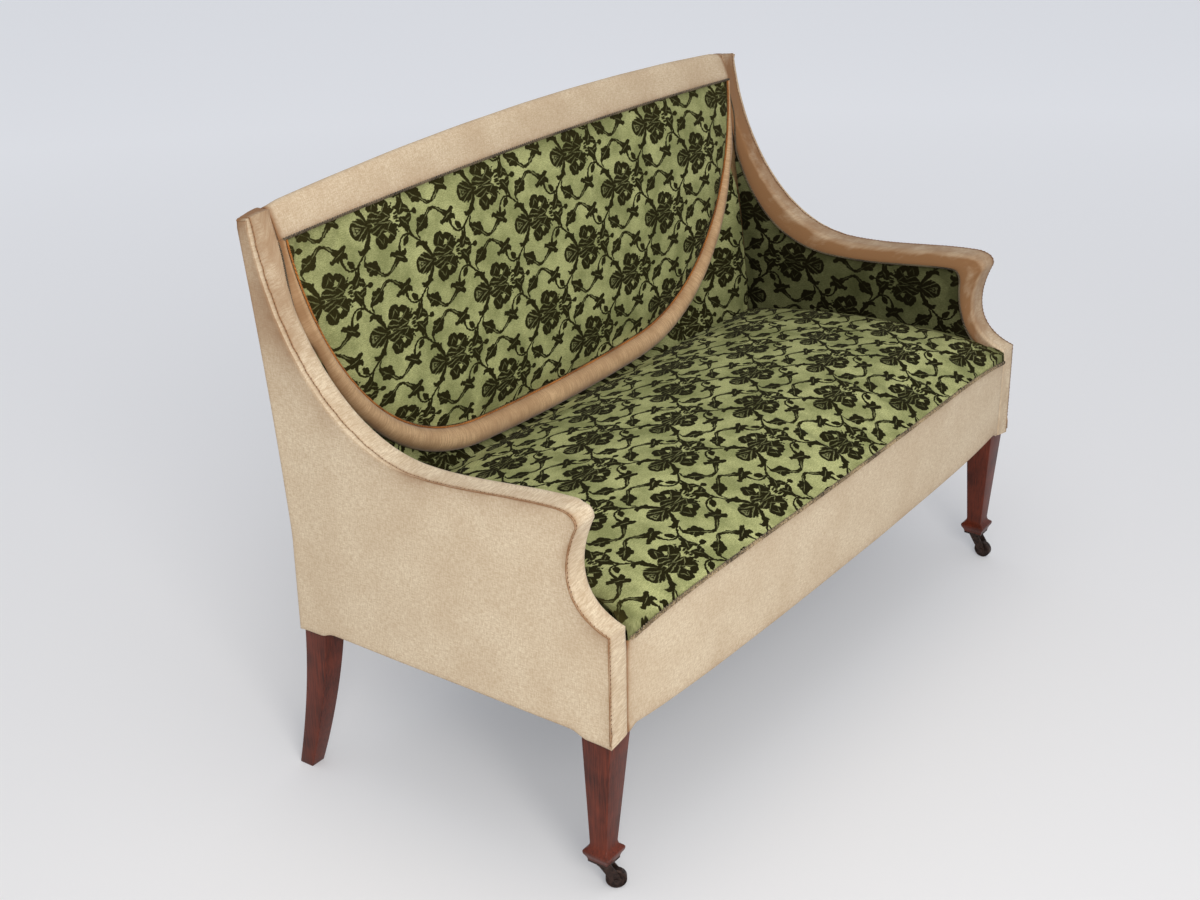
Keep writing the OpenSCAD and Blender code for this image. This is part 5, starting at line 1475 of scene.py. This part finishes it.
class SOFA_OT_trims(bpy.types.Operator):
    """Twisted gimps and the orange cord"""
    bl_idname = "sofa.trims"
    bl_label = "Gimps and cord"

    def execute(self, context):
        looks, sizes = context.scene.sofa_looks, context.scene.sofa_sizes
        brown = wound_cord("Cotton gimp, twisted, brown", tuple(looks.gimp), srgb("#2E2216"))
        # A copy of the brown gimp at 40 %: painted shade for the gimps along the arms and under the top
        # border
        dark = tuple(v * 0.4 for v in looks.gimp)
        gimp_in_painted_shade = wound_cord("Cotton gimp, twisted, brown, in painted shade", dark, srgb("#1E160E"))
        orange = wound_cord("Cotton cord, twisted, orange", tuple(looks.orange), srgb("#6E3E14"))
        x = np.linspace(-SEAT_GIMP_X, SEAT_GIMP_X, 161)
        y = front_arc(x) - 3.0 + 2 * near(SEAT_GIMP_X - np.abs(x), 2)
        seat = np.stack([x, y, front_top(x) - 1], 1)
        obj = twisted_cord("seat_piping", seat, (0, 0, 1), 3.3, sizes.gimp_lay / MM)
        finish_piece(obj, brown, ["seat_gimp"])
        x = np.linspace(-PANEL_GIMP_X, PANEL_GIMP_X, 121)
        y = panel_y(panel_top(np.clip(x, -PANEL_HALF, PANEL_HALF))) - 2.6
        panel = np.stack([x, y, panel_top(x) + 2.7], 1)
        obj = twisted_cord("panel_piping", panel, (0, 1, 0), 2.5, sizes.gimp_lay / MM)
        finish_piece(obj, gimp_in_painted_shade, ["panel_gimp"])
        edge = panel_edge()
        d = edge + panel_outward(edge) * 1.9
        path = np.stack([d[:, 0], panel_y(d[:, 1]) - 2.4, d[:, 1]], 1)
        path[[0, -1], 2] += 4  # up behind the gimp
        obj = twisted_cord("orange_cord", path, (0, 1, 0), 1.9, sizes.cord_lay / MM, step=1.2)
        finish_piece(obj, orange, ["panel_cord"])
        for side, sign in (("right", 1), ("left", -1)):
            path = []
            for i in np.linspace(2, INNER_TO, 140):
                o, d = outline_at(i), inward_at(i)
                place = np.array((lip_x_at(i) - 2.4, *(edge_at(i) - d * 1.2)))
                if i < 5:  # beside the roll it comes forward to the band's front corner
                    x, y, z = drawn_top(i, BAND_X, *(o + d * 1.8))
                    front = np.array((x - 6 * flare(i) - 1.4, y, z))
                    place = mix(place, front, smooth((5 - i) / 1.6))
                path.append((sign * place[0], place[1], place[2]))
            obj = twisted_cord(f"arm_piping_{side}", path, (1, 0, 0), 2.0, sizes.cord_lay / MM, sides=5)
            finish_piece(obj, gimp_in_painted_shade, [f"arm_gimp_{side}"])
        return {"FINISHED"}


def beads(name, places, ways, sizes, sides=6, rings=3):
    """Many small long beads in one piece: each at its place, lying its way, of its sizes in mm."""
    verts, faces = [], []
    for p, w, (length, wide) in zip(places, ways, sizes):
        p, w = np.array(p, float), np.array(w, float) / np.linalg.norm(w)
        side = np.cross(w, (0.31, 0.17, 0.93))
        side /= np.linalg.norm(side)
        top = np.cross(w, side)
        base = len(verts)
        verts.append(p - w * length / 2)
        for k in range(1, rings + 1):
            t = math.pi * k / (rings + 1)
            for j in range(sides):
                a = 2 * math.pi * j / sides
                verts.append(p - w * length / 2 * math.cos(t)
                             + (side * math.cos(a) + top * math.sin(a)) * wide / 2 * math.sin(t))
        verts.append(p + w * length / 2)
        last = len(verts) - 1
        for j in range(sides):
            n = (j + 1) % sides
            faces.append((base, base + 1 + n, base + 1 + j))
            for k in range(rings - 1):
                a, b = base + 1 + k * sides, base + 1 + (k + 1) * sides
                faces.append((a + j, a + n, b + n, b + j))
            a = base + 1 + (rings - 1) * sides
            faces.append((a + j, a + n, last))
    verts = np.array(verts)
    obj = mesh_piece(name, verts, faces, verts[:, [0, 2]], np.zeros(len(verts)))
    point_outwards(obj)
    return obj


class SOFA_OT_stitches(bpy.types.Operator):
    """Hand stitches along the seams of the arms"""
    bl_idname = "sofa.stitches"
    bl_label = "Stitches"

    def execute(self, context):
        gap = context.scene.sofa_sizes.stitch / MM
        thread = wound_cord("Linen thread, waxed, brown", srgb("#80552F"), srgb("#4A2E18"))
        line = []
        for i in index_list():
            o, d = outline_at(i), inward_at(i)
            line.append((HALF_W + 0.3 - seam_in(i), o[0] - 0.2 * d[0], o[1] - 0.2 * d[1]))
        line = even_path(line, gap)
        way = np.gradient(line, axis=0)
        way /= np.linalg.norm(way, axis=1)[:, None]
        for side, sign in (("right", 1), ("left", -1)):
            places = [(sign * p[0], p[1], p[2]) for p in line]
            ways = [(sign * (0.75 + 0.35 * math.sin(1.7 * k)), w[1], w[2]) for k, w in enumerate(way)]
            sizes = [(3.4 + 0.8 * math.sin(2.3 * k), 1.2) for k in range(len(places) - 4)]
            obj = beads(f"seam_stitches_{side}", places[2:-2], ways[2:-2], sizes)
            finish_piece(obj, thread)
        return {"FINISHED"}


def square_stack(name, rings, round_edges):
    """A square bar drawn out of one face from ring to ring, each (x, y, z, width) in mm."""
    x, y, z, w = rings[0]
    deselect_all()
    bpy.ops.mesh.primitive_plane_add(size=w * MM, location=(x * MM, y * MM, z * MM))
    obj = bpy.context.object
    obj.name = obj.data.name = name
    bpy.ops.object.transform_apply(location=True, rotation=True, scale=True)
    bpy.ops.object.mode_set(mode="EDIT")
    bpy.ops.mesh.select_all(action="SELECT")
    for nx, ny, nz, nw in rings[1:]:
        step = ((nx - x) * MM, (ny - y) * MM, (nz - z) * MM)
        bpy.ops.mesh.extrude_region_move(TRANSFORM_OT_translate={"value": step})
        bpy.ops.transform.resize(value=(nw / w, nw / w, 1), center_override=(nx * MM, ny * MM, nz * MM))
        x, y, z, w = nx, ny, nz, nw
    bpy.ops.object.mode_set(mode="OBJECT")
    point_outwards(obj)
    apply_modifier(obj, "Rounded edges", "BEVEL", width=round_edges, segments=3, limit_method="ANGLE",
                   angle_limit=math.radians(40))
    write_values(obj, "wear_and_shade", np.zeros(len(obj.data.vertices)))
    return obj


# The spade foot of a front leg: heights, and how wide the square is there
SPADE = ((52, 35), (55, 36), (59, 39.5), (63, 44.5), (66, 46), (68.5, 46), (70.5, 43.5), (72.5, 37.5),
         (74.5, 33.5), (78, 31), (82, 30))


def leg_wood(looks):
    """The mahogany of the legs, made once."""
    name = "Mahogany, stained and waxed"
    known = bpy.data.materials.get(name)
    return known or wood(name, tuple(looks.mahogany), tuple(looks.mahogany_dark), 0.42, 0.05)


class SOFA_OT_front_legs(bpy.types.Operator):
    """Square tapered front legs with a spade foot"""
    bl_idname = "sofa.front_legs"
    bl_label = "Front legs"

    def execute(self, context):
        looks, sizes = context.scene.sofa_looks, context.scene.sofa_sizes
        for side, sign in (("right", 1), ("left", -1)):
            rings = [(sign * FRONT_FOOT[0], FRONT_FOOT[1], z, w) for z, w in SPADE]
            neck_z, neck_w = SPADE[-1]
            for t in (0.25, 0.5, 0.75, 1):
                x, y = (mix(a, b, t) for a, b in zip(FRONT_FOOT, FRONT_LEG_TOP))
                rings.append((sign * x, y, mix(neck_z, LEG_TOP_Z, t), mix(neck_w, 52, t)))
            obj = square_stack(f"front_leg_turned_{side}", rings, sizes.edge_radius)
            finish_piece(obj, leg_wood(looks), [f"front_leg_{side}"], angle=30)
        return {"FINISHED"}


class SOFA_OT_rear_legs(bpy.types.Operator):
    """Sabre rear legs"""
    bl_idname = "sofa.rear_legs"
    bl_label = "Rear legs"

    def execute(self, context):
        looks, sizes = context.scene.sofa_looks, context.scene.sofa_sizes
        for side, sign in (("right", 1), ("left", -1)):
            rings = []
            for t in np.linspace(0, 1, 19):
                x = mix(REAR_FOOT[0], REAR_LEG_TOP[0], t)
                y = mix(REAR_FOOT[1], REAR_LEG_TOP[1], 1 - (1 - t) ** 1.7)
                rings.append((sign * x, y, LEG_TOP_Z * t, mix(27, 45, t ** 0.9)))
            obj = square_stack(f"rear_leg_sawn_{side}", rings, sizes.edge_radius)
            finish_piece(obj, leg_wood(looks), [f"rear_leg_{side}"], angle=30)
        return {"FINISHED"}


class SOFA_OT_frame_finishes(bpy.types.Operator):
    """Wood, wire, jute, hair and iron on the frame's own parts"""
    bl_idname = "sofa.frame_finishes"
    bl_label = "Frame and casters"

    def execute(self, context):
        looks = context.scene.sofa_looks
        cast = metal("Iron, cast, bronzed and worn", tuple(looks.iron), srgb("#1C1411"), 0.55, 6,
                     metallic=0.6)
        finishes = {
            "beech": wood("Beech, planed", srgb("#C9A77C"), srgb("#A47E54"), 0.6, 0.0, axis=0),
            "mahogany": leg_wood(looks),
            "steel_screws": metal("Steel, drawn", srgb("#8E8E8A"), srgb("#6A6864"), 0.35, 5),
            "spring_wire": metal("Spring wire, coppered", srgb("#A07A58"), srgb("#6A5A48"), 0.35, 9),
            "jute_webbing": plain_cloth("Jute webbing, woven", srgb("#A58C62"), srgb("#5E4A2C"), 4.0),
            "hessian": plain_cloth("Hessian, woven", srgb("#A8906A"), srgb("#57452C"), 3.0),
            "hair_stuffing": hair_stuffing("Horsehair, curled"),
            "black_cloth": plain_cloth("Black cotton cloth, plain woven", srgb("#2A2622"), srgb("#100E0C"),
                                       2.5),
            "caster_iron": cast,
            "green_cut_velvet": bpy.data.materials["Cut velvet, seat, painted light and shade"],
            "orange_cord": bpy.data.materials["Cotton cord, twisted, orange"],
            "brown_gimp": bpy.data.materials["Cotton gimp, twisted, brown"],
            "tan_velvet": bpy.data.materials["Mohair velvet, tan"],
            "beige_velvet": beige(looks),
        }
        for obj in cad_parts.values():
            for slot in obj.material_slots:
                slot.material = finishes[slot.material.name.split(".")[0]]
        return {"FINISHED"}


# The key lamp and the camera, in metres and degrees
KEY_PLACE = (-2.9, -2.8, 2.3)
CAMERA_PLACE = (-2.3863, -1.5435, 1.6891)
CAMERA_PITCH, CAMERA_ROLL, CAMERA_TURN = 24.505, -0.5562, 54.275
CAMERA_LENS = 53.92


class SOFA_OT_stage(bpy.types.Operator):
    """Plain pale floor, soft studio light and the camera"""
    bl_idname = "sofa.stage"
    bl_label = "Stage"

    def execute(self, context):
        scene = context.scene
        deselect_all()
        bpy.ops.mesh.primitive_plane_add(size=60)
        floor = bpy.context.object
        floor.name = "floor"
        mat, tree, shader = new_finish("Studio paper, pale grey", srgb("#D9D9DB"), Roughness=0.9,
                                       Specular_IOR_Level=0.1)
        # Seen straight on, the paper is as pale far back as it is close by
        seen = seen_straight(tree)
        place = node(tree, "ShaderNodeTexCoord").outputs["Object"]
        off = node(tree, "ShaderNodeVectorMath", {0: place, 1: (*KEY_PLACE[:2], 0.0)},
                   operation="DISTANCE").outputs["Value"]
        more = node(tree, "ShaderNodeMapRange",
                    {"Value": off, "From Min": 1.0, "From Max": 8.0, "To Min": 0.03, "To Max": 0.42})
        lift = node(tree, "ShaderNodeMath", {0: seen, 1: more.outputs[0]}, operation="MULTIPLY")
        tree.links.new(lift.outputs[0], shader.inputs["Emission Strength"])
        shader.inputs["Emission Color"].default_value = (*srgb("#E8ECF4"), 1)
        floor.data.materials.append(mat)
        for name, place, target, size, power in (("overhead", (-0.9, -0.8, 3.4), (0, 0, 0.4), 3.4, 30),
                                                  ("key", KEY_PLACE, (-0.2, 0, 0.4), 2.0, 118)):
            data = bpy.data.lights.new(name, "AREA")
            data.shape, data.size, data.energy = "SQUARE", size, power
            data.color = srgb("#FFFBF4")
            lamp = bpy.data.objects.new(name, data)
            scene.collection.objects.link(lamp)
            lamp.location = place
            lamp.rotation_euler = (Vector(target) - Vector(place)).to_track_quat("-Z", "Y").to_euler()
        world = bpy.data.worlds.new("Soft room")
        scene.world = world
        world.use_nodes = True
        tree = world.node_tree
        back = next(n for n in tree.nodes if n.type == "BACKGROUND")
        back.inputs["Color"].default_value = (*srgb("#EEF0F4"), 1)
        back.inputs["Strength"].default_value = 0.52
        # Beyond the paper's edge the room is as pale as the paper
        wall = node(tree, "ShaderNodeBackground", {"Color": (*srgb("#D3D6DD"), 1), "Strength": 1.0})
        either = node(tree, "ShaderNodeMixShader",
                      {0: seen_straight(tree), 1: back.outputs[0], 2: wall.outputs[0]})
        tree.links.new(either.outputs[0],
                       next(n for n in tree.nodes if n.type == "OUTPUT_WORLD").inputs["Surface"])

        pitch, roll, turn = (math.radians(d) for d in (CAMERA_PITCH, CAMERA_ROLL, CAMERA_TURN))
        right0 = Vector((math.cos(turn), -math.sin(turn), 0))
        ahead = Vector((math.sin(turn) * math.cos(pitch), math.cos(turn) * math.cos(pitch),
                        -math.sin(pitch)))
        up0 = right0.cross(ahead)
        right = right0 * math.cos(roll) + up0 * math.sin(roll)
        up = up0 * math.cos(roll) - right0 * math.sin(roll)
        data = bpy.data.cameras.new("camera")
        data.lens, data.sensor_width = CAMERA_LENS, 36
        camera = bpy.data.objects.new("camera", data)
        scene.collection.objects.link(camera)
        rows = [(right[k], up[k], -ahead[k], CAMERA_PLACE[k]) for k in range(3)]
        camera.matrix_world = Matrix(rows + [(0, 0, 0, 1)])
        scene.camera = camera
        scene.view_settings.view_transform = "Standard"
        return {"FINISHED"}


PIECES = (SOFA_OT_side_covers, SOFA_OT_arm_bands, SOFA_OT_front_border, SOFA_OT_top_border,
          SOFA_OT_outer_back, SOFA_OT_dust_cover, SOFA_OT_seat, SOFA_OT_back_panel, SOFA_OT_back_roll,
          SOFA_OT_lower_back, SOFA_OT_inner_arms, SOFA_OT_trims, SOFA_OT_stitches, SOFA_OT_front_legs,
          SOFA_OT_rear_legs, SOFA_OT_frame_finishes, SOFA_OT_stage)


class SOFA_PT_panel(bpy.types.Panel):
    bl_label = "Two-seater sofa"
    bl_idname = "SOFA_PT_panel"
    bl_space_type = "VIEW_3D"
    bl_region_type = "UI"
    bl_category = "Sofa"

    def draw(self, context):
        for group in (context.scene.sofa_sizes, context.scene.sofa_looks):
            box = self.layout.box()
            for key in group.__annotations__:
                box.prop(group, key)
        for piece in PIECES:
            self.layout.operator(piece.bl_idname)


CLASSES = (SofaLooks, SofaSizes, *PIECES, SOFA_PT_panel)


def register():
    for c in CLASSES:
        bpy.utils.register_class(c)
    bpy.types.Scene.sofa_looks = bpy.props.PointerProperty(type=SofaLooks)
    bpy.types.Scene.sofa_sizes = bpy.props.PointerProperty(type=SofaSizes)


def unregister():
    del bpy.types.Scene.sofa_sizes
    del bpy.types.Scene.sofa_looks
    for c in reversed(CLASSES):
        bpy.utils.unregister_class(c)


def main():
    register()
    for piece in PIECES:
        area, name = piece.bl_idname.split(".")
        getattr(getattr(bpy.ops, area), name)()


if __name__ == "__main__":
    main()
